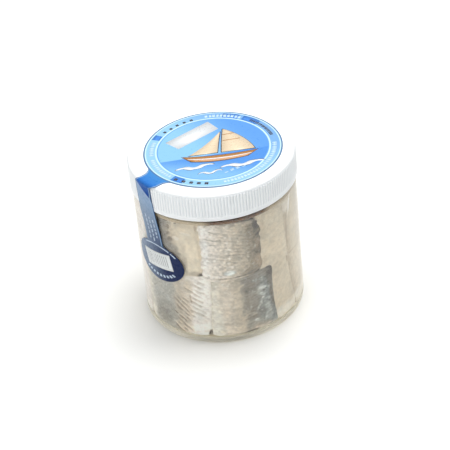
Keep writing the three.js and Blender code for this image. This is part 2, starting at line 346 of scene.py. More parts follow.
@dataclass
class Shader:
    """A material's or a group's node tree, with short calls to add nodes to it."""

    tree: NodeTree

    def node(self, kind: str, **settings: object) -> Node:
        """Adds a node.

        Args:
            kind: The node's type.
            settings: Properties to set on it.

        Returns:
            The new node.
        """
        node = self.tree.nodes.new(kind)
        for name, value in settings.items():
            setattr(node, name, value)
        return node

    def feed(self, socket: NodeSocket, source: object) -> None:
        """Links a source to a socket, or sets the socket to a plain value."""
        if isinstance(source, NodeSocket):
            self.tree.links.new(source, socket)
        else:
            socket.default_value = source

    def fill(self, node: Node, *sources: object) -> Node:
        """Feeds a node's first inputs in their order, and returns the node."""
        for socket, source in zip(node.inputs, sources):
            self.feed(socket, source)
        return node

    def give(self, node: Node, **sources: object) -> Node:
        """Feeds a node's inputs by their names, with _ for a space, and returns the node."""
        for name, source in sources.items():
            self.feed(node.inputs[name.replace("_", " ")], source)
        return node

    def math(self, operation: str, *inputs: object, clamp: bool = False) -> NodeSocket:
        """The result of a Math node of up to three inputs."""
        node = self.node("ShaderNodeMath", operation=operation, use_clamp=clamp)
        return self.fill(node, *inputs).outputs[0]

    def mix(self, share: object, low: object, high: object, blend: str = "MIX") -> NodeSocket:
        """Mixes two colours.

        Args:
            share: How much of the second there is.
            low: The first colour.
            high: The second colour.
            blend: How they are mixed.

        Returns:
            The mixed colour.
        """
        node = self.node("ShaderNodeMix", data_type="RGBA", blend_type=blend, clamp_factor=True)
        self.feed(node.inputs[0], share)
        self.feed(node.inputs[6], low)
        self.feed(node.inputs[7], high)
        return node.outputs[2]

    def blend(self, share: object, low: NodeSocket, high: NodeSocket) -> NodeSocket:
        """A mix of two surfaces: low where the share is 0, high where it is 1."""
        return self.fill(self.node("ShaderNodeMixShader"), share, low, high).outputs[0]

    def step(
        self, value: object, low: float, high: float, to_low: float = 0.0, to_high: float = 1.0
    ) -> NodeSocket:
        """A smooth change from to_low to to_high as the value goes from low to high."""
        node = self.node("ShaderNodeMapRange", interpolation_type="SMOOTHSTEP")
        return self.fill(node, value, low, high, to_low, to_high).outputs[0]

    def band(self, value: object, low: float, high: float, soft: float) -> NodeSocket:
        """Marks a band.

        Args:
            value: The value to test.
            low: Where the band starts.
            high: Where it ends.
            soft: How far its borders fade to both sides.

        Returns:
            1 in the band and 0 outside it.
        """
        inside = self.step(value, low - soft, low + soft)
        outside = self.step(value, high - soft, high + soft)
        return self.math("SUBTRACT", inside, outside, clamp=True)

    def uneven(self, cloud: object, low: float, high: float) -> NodeSocket:
        """A value that wanders between low and high with a noise, whose values lie about 0.3 to 0.7."""
        return self.step(cloud, 0.3, 0.7, low, high)

    def noise(self, place: object, scale: float, detail: float = 2.0, roughness: float = 0.5) -> NodeSocket:
        """The value of a noise texture, from 0 to 1."""
        node = self.node("ShaderNodeTexNoise")
        return self.give(node, Vector=place, Scale=scale, Detail=detail, Roughness=roughness).outputs["Fac"]

    def place(self) -> NodeSocket:
        """Object coordinates."""
        return self.node("ShaderNodeTexCoord").outputs["Object"]

    def split(self, vector: NodeSocket) -> tuple[NodeSocket, ...]:
        """The x, y and z of a vector."""
        return tuple(self.fill(self.node("ShaderNodeSeparateXYZ"), vector).outputs)

    def flat(self) -> NodeSocket:
        """The piece's own UV map, in millimetres."""
        return self.node("ShaderNodeUVMap", uv_map="flat").outputs[0]

    def attribute(self, name: str, output: str = "Fac") -> NodeSocket:
        """A mesh attribute, as a number or, with output Color, as a colour."""
        return self.node("ShaderNodeAttribute", attribute_name=name).outputs[output]

    def ramp(self, value: object, tones: Ramp, reach: float, unit: float = 1.0) -> NodeSocket:
        """A colour ramp over a distance.

        Args:
            value: The distance.
            tones: Distances in millimetres and display colours, in order.
            reach: The ramp's length in millimetres.
            unit: What a millimetre is in the value's own unit.

        Returns:
            The ramp's colour.
        """
        node = self.node("ShaderNodeValToRGB")
        while len(node.color_ramp.elements) < len(tones):
            node.color_ramp.elements.new(0.5)
        for element, (distance, colour) in zip(node.color_ramp.elements, tones):
            element.position = distance / reach
            element.color = srgb(*colour)
        self.feed(node.inputs[0], self.math("DIVIDE", value, reach * unit))
        return node.outputs[0]

    def bump(self, height: object, distance: float, strength: float = 1.0) -> NodeSocket:
        """A normal bent by a height, whose full step is distance in metres."""
        node = self.node("ShaderNodeBump")
        return self.give(node, Height=height, Distance=distance, Strength=strength).outputs[0]

    def group(self, group: NodeTree, **inputs: object) -> Node:
        """Places a shared group and feeds its inputs by name, with _ for a space."""
        return self.give(self.node("ShaderNodeGroup", node_tree=group), **inputs)

    def mottled(
        self, shader: Node, mottle: NodeTree, colour: object, scale: float, amount: float, gloss: Pair
    ) -> None:
        """Gives a shader a mottled colour, and a roughness that goes with the same blots.

        Args:
            shader: The Principled node.
            mottle: The shared group.
            colour: The colour.
            scale: How fine the blots are.
            amount: How far they change the colour.
            gloss: The least and the greatest roughness.
        """
        blots = self.group(mottle, Color=colour, Scale=scale, Amount=amount)
        roughness = self.uneven(blots.outputs["Height"], *gloss)
        self.give(shader, Base_Color=blots.outputs["Color"], Roughness=roughness)


def new_material(name: str) -> tuple[Material, Shader, Node]:
    """A material with its Principled shader, ready for more nodes.

    Args:
        name: The material's name.

    Returns:
        The material, its node tree and the Principled node.
    """
    material = bpy.data.materials.new(name)
    material.use_nodes = True
    return material, Shader(material.node_tree), material.node_tree.nodes["Principled BSDF"]


def mottle_group() -> NodeTree:
    """A shared group that makes a colour darker and lighter in blots and gives their height.

    Two noises, one 4.3 times as fine as the other, are taken together at 0.6 to 0.4 and move the
    colour between a dark and a light version.
    """
    group = bpy.data.node_groups.new("mottle", "ShaderNodeTree")
    group.interface.new_socket("Color", in_out="INPUT", socket_type="NodeSocketColor")
    for label, value in (("Scale", 300.0), ("Amount", 0.1)):
        socket = group.interface.new_socket(label, in_out="INPUT", socket_type="NodeSocketFloat")
        socket.default_value = value
    for label, kind in (("Color", "NodeSocketColor"), ("Height", "NodeSocketFloat")):
        group.interface.new_socket(label, in_out="OUTPUT", socket_type=kind)
    tree = Shader(group)
    start, end = tree.node("NodeGroupInput"), tree.node("NodeGroupOutput")
    place = tree.place()
    wide = tree.noise(place, start.outputs["Scale"], 3.0, 0.6)
    fine = tree.noise(place, tree.math("MULTIPLY", start.outputs["Scale"], 4.3), 2.0, 0.6)
    height = tree.math("ADD", tree.math("MULTIPLY", wide, 0.6), tree.math("MULTIPLY", fine, 0.4))
    swing = tree.math("MULTIPLY_ADD", height, 2.0, -1.0)
    factor = tree.math("MULTIPLY_ADD", swing, start.outputs["Amount"], 1.0)
    grey = tree.fill(tree.node("ShaderNodeCombineColor"), factor, factor, factor)
    colour = tree.mix(1.0, start.outputs["Color"], grey.outputs[0], "MULTIPLY")
    tree.give(end, Color=colour, Height=height)
    return group


@dataclass(frozen=True)
class ClearFinish:
    """A clear material that lets lamps and soft light through, so that what is inside is lit.

    It can hold a milky haze, full up to the height haze_low and gone at haze_top. Towards the front,
    from haze_behind to haze_ahead, it grows weaker in the middle, which lies haze_shift to the left:
    there it sinks from haze_far on both sides, and at haze_near it has haze_front of its strength.
    """

    name: str
    colour: Colour
    passing: Colour
    ior: float
    roughness: float
    absorption: Colour | None = None
    density: float = 0.0
    ripple: float = 0.0
    ripple_scale: float = 45.0
    haze: Colour | None = None
    haze_low: float = 0.002
    haze_top: float = 0.008
    haze_most: float = 0.92
    haze_through: float = 0.2
    haze_shift: float = 0.004
    haze_near: float = 0.008
    haze_far: float = 0.03
    haze_front: float = 0.5
    haze_ahead: float = -0.035
    haze_behind: float = -0.025

    def hazed(self, tree: Shader, surface: NodeSocket) -> NodeSocket:
        """Lays the milky haze over a surface.

        Args:
            tree: The material's nodes.
            surface: The clear surface.

        Returns:
            The surface with its haze.
        """
        lobes = [
            tree.give(tree.node(kind), Color=self.haze).outputs[0]
            for kind in ("ShaderNodeBsdfDiffuse", "ShaderNodeBsdfTranslucent")
        ]
        across, back, height = tree.split(tree.place())
        level = tree.step(height, self.haze_low, self.haze_top, self.haze_most, 0.0)
        aside = tree.math("ABSOLUTE", tree.math("ADD", across, self.haze_shift))
        sides = tree.step(aside, self.haze_near, self.haze_far, self.haze_front, 1.0)
        share = tree.math("MAXIMUM", sides, tree.step(back, self.haze_ahead, self.haze_behind))
        milky = tree.blend(self.haze_through, *lobes)
        return tree.blend(tree.math("MULTIPLY", level, share), surface, milky)

    def build(self) -> Material:
        """Makes the material: glass for the eye and for reflections, and plain see-through for light."""
        material, tree, shader = new_material(self.name)
        tree.give(shader, Base_Color=self.colour, Transmission_Weight=1.0, IOR=self.ior)
        if self.ripple:
            wave = tree.noise(tree.place(), self.ripple_scale)
            roughness = tree.uneven(wave, self.roughness * 0.6, self.roughness * 1.4)
            tree.give(shader, Normal=tree.bump(wave, self.ripple), Roughness=roughness)
        else:
            tree.give(shader, Roughness=self.roughness)
        light = tree.node("ShaderNodeLightPath")
        passes = tree.math("MAXIMUM", light.outputs["Is Shadow Ray"], light.outputs["Is Diffuse Ray"])
        clear = tree.give(tree.node("ShaderNodeBsdfTransparent"), Color=self.passing)
        surface = shader.outputs[0] if self.haze is None else self.hazed(tree, shader.outputs[0])
        out = material.node_tree.nodes["Material Output"]
        tree.give(out, Surface=tree.blend(passes, surface, clear.outputs[0]))
        if self.absorption is not None:
            volume = tree.node("ShaderNodeVolumeAbsorption")
            tree.give(volume, Color=self.absorption, Density=self.density)
            tree.give(out, Volume=volume.outputs[0])
        return material


@dataclass(frozen=True)
class PlasticFinish:
    """Opaque moulded plastic with a faintly uneven gloss, a fine grain and painted shade between its ribs.

    The grooves' painted shade fades from the radius root out to the radius crest, and the ribs run from
    ribs_low up to ribs_high.
    """

    name: str
    colour: Colour
    # The colour of the painted shade in the grooves between the ribs.
    groove: Colour
    roughness: float
    mottle: NodeTree
    root: float = 0.0454
    crest: float = 0.04575
    ribs_low: float = 0.0866
    ribs_high: float = 0.0982
    ribs_fade: float = 0.0006
    grain_scale: float = 2600.0
    grain_depth: float = 0.00001
    glow: float = 0.08
    glow_depth: float = 0.002

    def build(self) -> Material:
        """Makes the material."""
        material, tree, shader = new_material(self.name)
        blots = tree.group(self.mottle, Color=self.colour, Scale=120.0, Amount=0.012)
        across, back, height = tree.split(tree.place())
        squares = tree.math("ADD", tree.math("MULTIPLY", across, across), tree.math("MULTIPLY", back, back))
        # Painted shade: the colour turns greyer towards the ribs' roots, between ribs_low and ribs_high.
        groove_shade = tree.step(tree.math("SQRT", squares), self.root, self.crest, 1.0, 0.0)
        above = tree.step(height, self.ribs_low, self.ribs_low + self.ribs_fade)
        below = tree.step(height, self.ribs_high, self.ribs_high + self.ribs_fade, 1.0, 0.0)
        share = tree.math("MULTIPLY", groove_shade, tree.math("MULTIPLY", above, below))
        low, high = self.roughness - 0.04, self.roughness + 0.05
        grain = tree.noise(tree.place(), self.grain_scale, 1.0)
        tree.give(
            shader,
            Base_Color=tree.mix(share, blots.outputs["Color"], self.groove),
            Roughness=tree.uneven(blots.outputs["Height"], low, high),
            Normal=tree.bump(grain, self.grain_depth, 0.5),
            Subsurface_Weight=self.glow,
            Subsurface_Radius=(self.glow_depth,) * 3,
        )
        return material


@dataclass(frozen=True)
class InkFinish:
    """Printing ink on film: one colour with the slight unevenness of print."""

    name: str
    colour: Colour
    mottle: NodeTree
    roughness: float = 0.3

    def build(self) -> Material:
        """Makes the material."""
        material, tree, shader = new_material(self.name)
        gloss = self.roughness - 0.05, self.roughness + 0.05
        tree.mottled(shader, self.mottle, self.colour, 700.0, 0.06, gloss)
        return material


@dataclass(frozen=True)
class DiscPrint:
    """The film's print on the lid: a framed ring round a sky that meets a sea at a slanting horizon.

    The sky, the sea and the ring change their tone between two places along their own directions.
    """

    mottle: NodeTree
    edge: Colour = srgb(76, 112, 150)
    line: Colour = srgb(186, 216, 232)
    ring_light: Colour = srgb(136, 184, 216)
    ring_deep: Colour = srgb(112, 158, 206)
    sky_light: Colour = srgb(128, 180, 218)
    sky_deep: Colour = srgb(86, 142, 210)
    sea_deep: Colour = srgb(74, 132, 204)
    sea_light: Colour = srgb(118, 170, 214)
    sky_change: Pair = (-12.0, 30.0)
    sea_change: Pair = (-28.0, -10.0)
    ring_change: Pair = (0.0, 40.0)
    field_radius: float = 30.4
    line_radius: float = 36.3
    edge_radius: float = 37.0
    horizon_height: float = -6.2
    horizon_slope: float = 0.105
    soft: float = 0.15
    gloss: Pair = (0.26, 0.36)

    def build(self) -> Material:
        """Makes the material from the flat map, whose middle is the disc's middle."""
        material, tree, shader = new_material("film_print_top")
        flat = tree.flat()
        x, y, _ = tree.split(flat)
        length = tree.fill(tree.node("ShaderNodeVectorMath", operation="LENGTH"), flat)
        radius = length.outputs["Value"]
        aslant = tree.math("ADD", x, tree.math("MULTIPLY", y, 0.6))
        sky = tree.mix(tree.step(aslant, *self.sky_change), self.sky_light, self.sky_deep)
        depth = tree.math("ADD", tree.math("MULTIPLY", x, 0.25), y)
        sea = tree.mix(tree.step(depth, *self.sea_change), self.sea_light, self.sea_deep)
        level = tree.math("MULTIPLY_ADD", x, self.horizon_slope, self.horizon_height)
        picture = tree.mix(tree.step(tree.math("SUBTRACT", y, level), -0.3, 0.3), sea, sky)
        ring = tree.mix(tree.step(tree.math("ADD", x, y), *self.ring_change), self.ring_light, self.ring_deep)
        framed = tree.mix(tree.step(radius, self.field_radius, self.field_radius + 0.25), picture, ring)
        for low, high, colour in (
            (self.field_radius - 0.5, self.field_radius, self.sky_deep),
            (self.field_radius + 0.1, self.field_radius + 1.0, self.line),
            (self.line_radius, self.edge_radius, self.line),
            (self.edge_radius, self.edge_radius + 1.5, self.edge),
        ):
            framed = tree.mix(tree.band(radius, low, high, self.soft), framed, colour)
        tree.mottled(shader, self.mottle, framed, 600.0, 0.05, self.gloss)
        wave = tree.noise(tree.place(), 60.0, 1.0)
        tree.give(shader, Normal=tree.bump(wave, 0.00006))
        return material


@dataclass(frozen=True)
class StripPrint:
    """The film's print down the side: sky blue on the lid that turns to navy, with light edge lines.

    The flat map holds the distance to the nearer edge and the distance along the film from the disc.
    The edge lines end where the oval starts, and a painted reflection lies on the strip's outer part
    below the lid. Below the fold the side tones are partly print and partly painted reflection.
    """

    mottle: NodeTree
    edge: Colour = srgb(60, 92, 140)
    line: Colour = srgb(138, 166, 194)
    painted_sheen: Colour = srgb(124, 144, 170)
    tones: Ramp = (
        (0.0, (64, 126, 188)),
        (6.0, (54, 114, 186)),
        (9.5, (40, 94, 172)),
        (14.0, (22, 66, 142)),
    )
    # Below the fold: the print's blue turning to navy, made lighter and greyer above by a painted reflection.
    side_tones_and_sheen: Ramp = (
        (12.5, (134, 160, 196)),
        (20.0, (138, 163, 193)),
        (28.0, (126, 147, 174)),
        (40.0, (72, 90, 122)),
        (52.0, (30, 44, 82)),
    )
    reach: float = 80.0
    crease_soft: float = 0.35
    oval_start: Pair = (44.0, 47.0)
    line_soft: float = 0.12
    sheen_most: float = 0.75
    sheen_across: Pair = (-0.043, -0.029)
    sheen_along: Pair = (20.0, 30.0)
    gloss: Pair = (0.24, 0.34)

    def build(self) -> Material:
        """Makes the material."""
        material, tree, shader = new_material("film_print_side")
        inset, along, _ = tree.split(tree.flat())
        folded = tree.step(tree.attribute("crease"), -self.crease_soft, self.crease_soft)
        tones = [tree.ramp(along, tones, self.reach) for tones in (self.tones, self.side_tones_and_sheen)]
        base = tree.mix(folded, *tones)
        strip = tree.step(along, *self.oval_start, 1.0, 0.0)
        for low, high, colour in ((-0.5, 0.45, self.edge), (0.45, 1.05, self.line)):
            share = tree.math("MULTIPLY", tree.band(inset, low, high, self.line_soft), strip)
            base = tree.mix(share, base, colour)
        # Painted reflection over the strip's outer part below the lid.
        outer = tree.step(tree.split(tree.place())[0], *self.sheen_across, self.sheen_most, 0.0)
        painted_sheen = tree.math("MULTIPLY", outer, tree.step(along, *self.sheen_along))
        base = tree.mix(painted_sheen, base, self.painted_sheen)
        tree.mottled(shader, self.mottle, base, 600.0, 0.05, self.gloss)
        wave = tree.noise(tree.place(), 90.0, 1.0)
        tree.give(shader, Specular_IOR_Level=0.12, Normal=tree.bump(wave, 0.0001))
        return material


@dataclass(frozen=True)
class FishFinish:
    """Wet herring: the painted tones, broken up by fine blots, with painted highlights on silver skin."""

    mottle: NodeTree
    # The colour of the painted highlights, white specks on silver skin.
    painted_glint: Colour = srgb(250, 248, 245)
    glint_share: float = 0.85
    glint_cells: Pair = (0.72, 0.95)
    speck: Colour = srgb(58, 53, 50)
    speck_share: float = 0.55
    speck_scale: float = 900.0
    cell_scale: float = 1150.0
    patch_scale: float = 260.0
    metal: float = 0.1
    specular: float = 0.14
    relief: float = 0.00025
    gloss: Pair = (0.34, 0.5)

    def build(self) -> Material:
        """Makes the material from the attributes paint, silver and dark."""
        material, tree, shader = new_material("herring_flesh_and_skin")
        place = tree.place()
        silver, dark = tree.attribute("silver"), tree.attribute("dark")
        blots = tree.group(self.mottle, Color=tree.attribute("paint", "Color"), Scale=420.0, Amount=0.16)
        cells = tree.node("ShaderNodeTexVoronoi", feature="F1")
        tree.give(cells, Vector=place, Scale=self.cell_scale)
        pick = tree.fill(tree.node("ShaderNodeSeparateColor"), cells.outputs["Color"])
        patchy = tree.step(tree.noise(place, self.patch_scale), 0.45, 0.65)
        shining = tree.math("MULTIPLY", silver, patchy)
        # Painted highlights: white specks in the colour, on patches of silver skin.
        painted_glints = tree.math("MULTIPLY", tree.step(pick.outputs[0], *self.glint_cells), shining)
        spots = tree.step(tree.noise(place, self.speck_scale, 3.0, 0.7), 0.52, 0.66)
        specks = tree.math("MULTIPLY", tree.math("MULTIPLY", spots, dark), self.speck_share)
        colour = tree.mix(specks, blots.outputs["Color"], self.speck)
        colour = tree.mix(tree.math("MULTIPLY", painted_glints, self.glint_share), colour, self.painted_glint)
        scales = tree.math("MULTIPLY", pick.outputs[1], tree.math("MULTIPLY", silver, 0.4))
        height = tree.math("ADD", blots.outputs["Height"], scales)
        tree.give(
            shader,
            Base_Color=colour,
            Specular_IOR_Level=self.specular,
            Metallic=tree.math("MULTIPLY", silver, self.metal),
            Roughness=tree.uneven(blots.outputs["Height"], *self.gloss),
            Normal=tree.bump(height, self.relief),
        )
        return material


@dataclass(frozen=True)
class CoreFinish:
    """Flesh and oil in the shade: pale at the floor, brown in the seams, amber and then dark under the lid.

    The amber band is paler at the sides: from amber_reach on both sides of amber_middle, it changes
    over amber_soft, and upwards it does so between the heights of pale_change.
    """

    mottle: NodeTree
    # Painted shade: the ramp turns brown in the seams and dark under the lid.
    tones: Ramp = (
        (5.0, (196, 185, 158)),
        (9.0, (112, 92, 62)),
        (79.0, (112, 92, 62)),
        (80.2, (114, 70, 6)),
        (81.2, (100, 62, 6)),
        (82.2, (86, 54, 8)),
    )
    pale: Colour = srgb(186, 168, 142)
    pale_change: Pair = (0.0785, 0.08)
    wander: float = 0.0006
    reach: float = 100.0
    specular: float = 0.1
    gloss: Pair = (0.45, 0.55)
    amber_middle: float = 9.5
    amber_reach: float = 13.0
    amber_soft: float = 6.0

    def build(self) -> Material:
        """Makes the material from a ramp over the height, paler under the lid at the sides."""
        material, tree, shader = new_material("shaded_oil_and_flesh")
        across, _, height = tree.split(tree.place())
        uneven = tree.uneven(tree.noise(tree.place(), 220.0), -self.wander, self.wander)
        base = tree.ramp(tree.math("ADD", height, uneven), self.tones, self.reach, MM)
        aside = tree.math("ABSOLUTE", tree.math("ADD", across, -self.amber_middle * MM))
        sides = tree.step(aside, self.amber_reach * MM, (self.amber_reach + self.amber_soft) * MM)
        share = tree.math("MULTIPLY", sides, tree.step(height, *self.pale_change))
        base = tree.mix(share, base, self.pale)
        tree.mottled(shader, self.mottle, base, 500.0, 0.1, self.gloss)
        tree.give(shader, Specular_IOR_Level=self.specular)
        return material


@dataclass
class Jar:
    """The clear cup: a turned wall with a rounded heel, a recessed base and a neck inside the lid."""

    wall: float = 1.2
    shoulder: float = 83.2
    neck_radius: float = 43.4
    heel: float = 4.2
    foot: float = 2.8
    recess: float = 1.5
    base: float = 1.2
    flats: int = 288

    def __post_init__(self) -> None:
        """Reads the jar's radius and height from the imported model."""
        low, high = cad_box("jar")
        self.radius = float(high[0] - low[0]) / 2
        self.height = float(high[2])
        self.inside = self.radius - self.wall
        self.floor = self.recess + self.base

    @staticmethod
    def arc(centre: Pair, size: float, start: float, stop: float, steps: int = 14) -> Array:
        """Points of a round corner: the centre plus size times the cosine and sine of the angle."""
        turn = np.radians(np.linspace(start, stop, steps))
        return np.stack([centre[0] + size * np.cos(turn), centre[1] + size * np.sin(turn)], axis=-1)

    def outside(self) -> Array:
        """The outer profile, from the middle of the base up to the rim."""
        foot_outer = self.radius - self.heel
        foot_inner = foot_outer - self.foot
        return np.concatenate([
            [[0, self.recess], [foot_inner - 2.4, self.recess]],
            self.arc((foot_inner - 2.4, self.recess - 1.0), 1.0, 90, 40, 5),
            [[foot_inner - 0.3, 0.15], [foot_inner, 0], [foot_outer - 0.4, 0]],
            self.arc((foot_outer, self.heel), self.heel, -90, 0),
            [[self.radius, self.shoulder - 0.5]],
            self.arc((self.radius - 0.5, self.shoulder - 0.1), 0.5, 0, 80, 5),
            [[self.neck_radius + 0.4, self.shoulder + 0.6], [self.neck_radius, self.shoulder + 1.0]],
            self.arc((self.neck_radius - 0.4, self.height - 0.4), 0.4, 0, 90, 4),
        ])

    def lining(self, gap: float = 0.0) -> Array:
        """The inner profile, from the rim down to the middle of the floor.

        Args:
            gap: How much further out it lies.

        Returns:
            Its points.
        """
        inside, neck, floor = self.inside + gap, self.neck_radius - self.wall + gap, self.floor - gap
        curve = self.heel - self.wall
        return np.concatenate([
            [[neck, self.height], [neck, self.shoulder + 0.1], [neck + 0.3, self.shoulder - 0.3]],
            [[inside - 0.3, self.shoulder - 1.1], [inside, self.shoulder - 1.6]],
            self.arc((inside - curve, floor + curve), curve, 0, -90),
            [[0, floor]],
        ])

    def build(self, finish: Material) -> Object:
        """Makes the jar's wall."""
        profile = np.concatenate([self.outside(), self.lining()])
        return dress(turned("jar_wall", profile, self.flats), finish, "jar_plastic", "jar")

    def fill(self, finish: Material, level: float = 96.9, reach: float = 0.05) -> Object:
        """Makes the oil, which fills the jar up to a level and reaches just into its wall.

        Args:
            finish: The oil's material.
            level: Height of its surface.
            reach: How far it goes into the wall.

        Returns:
            The oil.
        """
        profile = self.lining(reach)[::-1]
        profile[-1, 1] = level
        return dress(turned("oil", np.concatenate([profile, [[0, level]]]), self.flats), finish, "herring")


@dataclass
class Lid:
    """The white screw lid: a plate, a rounded edge and a skirt with fine upright ribs over a plain band."""

    plate: float = 1.3
    skirt_inside: float = 44.3
    edge: float = 1.7
    band: float = 2.3
    ribs: int = 168
    rib_depth: float = 0.45
    columns: int = 8
    groove: float = 85.2

    def __post_init__(self) -> None:
        """Reads the lid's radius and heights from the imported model."""
        low, high = cad_box("lid")
        self.radius = float(high[0] - low[0]) / 2
        self.bottom, self.top = float(low[2]), float(high[2])

    def profile(self) -> Array:
        """Rows of inner radius, outer radius and height, from under the plate outwards and up to the top.

        Both radii are alike but for the ribs, which run between them.
        """
        root = self.radius - self.rib_depth
        under, band = self.top - self.plate, self.bottom + self.band
        plain = [
            (0, under), (self.skirt_inside - 0.5, under), (self.skirt_inside, under - 0.5),
            (self.skirt_inside, self.bottom + 0.2), (self.skirt_inside + 0.2, self.bottom),
            (self.radius - 0.3, self.bottom), (self.radius - 0.08, self.bottom + 0.08),
            (self.radius, self.bottom + 0.3), (self.radius, self.groove - 0.16),
            (self.radius - 0.1, self.groove), (self.radius, self.groove + 0.16), (self.radius, band - 0.1),
        ]
        rows = [(radius, radius, z) for radius, z in plain]
        for share in np.linspace(0, 1, 5):
            rows.append((self.radius - self.rib_depth * share, self.radius, band + 0.5 * share))
        shoulder = self.top - self.edge
        rows.extend((root, self.radius, z) for z in np.linspace(band + 2, shoulder - 1.2, 4))
        for share in np.linspace(0, 1, 6):
            rows.append((root, self.radius - self.rib_depth * share**2, shoulder - 0.8 + 0.8 * share))
        arc = Jar.arc((root - self.edge, shoulder), self.edge, 6, 90, 10)
        rows.extend((radius, radius, z) for radius, z in arc)
        rows.extend((radius, radius, self.top) for radius in (root - self.edge - 0.5, 30))
        rows.append((0, 0, self.top))
        return np.array(rows)

    def build(self, finish: Material) -> Object:
        """Makes the lid: each rib's section is a rounded crest, the square root of a raised cosine.

        Args:
            finish: The material.

        Returns:
            The lid.
        """
        rows = self.profile()
        flats = self.ribs * self.columns
        angle = np.arange(flats) * 360 / flats
        crest = np.sqrt(0.5 + 0.5 * np.cos(np.radians(angle * self.ribs)))
        radius = rows[1:-1, :1] + (rows[1:-1, 1:2] - rows[1:-1, :1]) * crest[None, :]
        points = polar(angle[None, :], radius, rows[1:-1, 2:])
        count = len(points)
        ends = [[0, 0, rows[0, 2]], [0, 0, rows[-1, 2]]]
        points = np.concatenate([points.reshape(-1, 3), ends])
        piece = make_mesh("lid_cap", points, grid_quads(count, flats, True), pole_fans(count, flats))
        return dress(piece, finish, "lid_plastic", "lid")


class Tone(Enum):
    """Tones of herring, each by its display colour, its share of silver skin and its share of dark back."""

    # The first tone is painted shade: the dark seen in the gaps between pieces.
    GAP = ((62, 50, 32), 0.0, 0.2)
    INK = ((52, 40, 28), 0.05, 1.0)
    DEEP = ((100, 92, 82), 0.1, 1.0)
    BACK = ((130, 124, 118), 0.2, 0.9)
    STONE = ((136, 129, 119), 0.4, 0.7)
    CLAY = ((134, 122, 104), 0.3, 0.8)
    UMBER = ((112, 100, 84), 0.1, 1.0)
    SLATE = ((125, 131, 132), 0.6, 0.6)
    STEEL = ((171, 170, 166), 0.5, 0.3)
    TAUPE = ((180, 168, 153), 0.35, 0.25)
    DUNE = ((195, 183, 169), 0.4, 0.1)
    SAND = ((213, 202, 191), 0.5, 0.0)
    SHELL = ((223, 219, 212), 0.6, 0.0)
    SILVER = ((225, 216, 210), 0.9, 0.0)
    PEARL = ((237, 230, 228), 0.8, 0.0)
    WHITE = ((250, 246, 246), 0.9, 0.0)
    ICE = ((226, 232, 234), 1.0, 0.0)
    CREAM = ((217, 205, 188), 0.0, 0.0)
    FLESH = ((210, 198, 180), 0.0, 0.0)
    TAN = ((197, 184, 166), 0.0, 0.0)
    ROSE = ((193, 181, 166), 0.1, 0.05)
    BROWN = ((160, 139, 117), 0.1, 0.2)

    @property
    def numbers(self) -> Array:
        """Its red, green, blue, silver and dark."""
        return np.array([*self.value[0], *self.value[1:]], float)


@dataclass(frozen=True)
class Zone:
    """A tone from a slanting left edge onwards, with a soft and ragged border.

    foot and head are the edge's angles at the bottom and the top of the piece.
    """

    tone: Tone
    foot: float
    head: float
    soft: float = 2.0
    ragged: float = 1.2


@dataclass(frozen=True)
class Touch:
    """A soft oval patch of a tone, by its middle and its half sizes, turned by a tilt in degrees."""

    tone: Tone
    angle: float
    height: float
    wide: float
    tall: float
    strength: float = 1.0
    tilt: float = 0.0


@dataclass(frozen=True)
class Strokes:
    """Rows of short slanting lines, of muscle or wrinkled skin, between two angles and two heights.

    tilt is the lines' slant in degrees, spacing the distance between rows, length that of a stroke,
    dark how much a stroke darkens, gleam how far a painted highlight lightens the skin beside it,
    and depth how far the stroke is sunk, in millimetres.
    """

    left: float
    right: float
    low: float
    high: float
    tilt: float
    spacing: float
    length: float = 5.0
    dark: float = 0.2
    # Painted highlight on the skin beside each stroke.
    painted_gleam: float = 0.0
    depth: float = 0.2


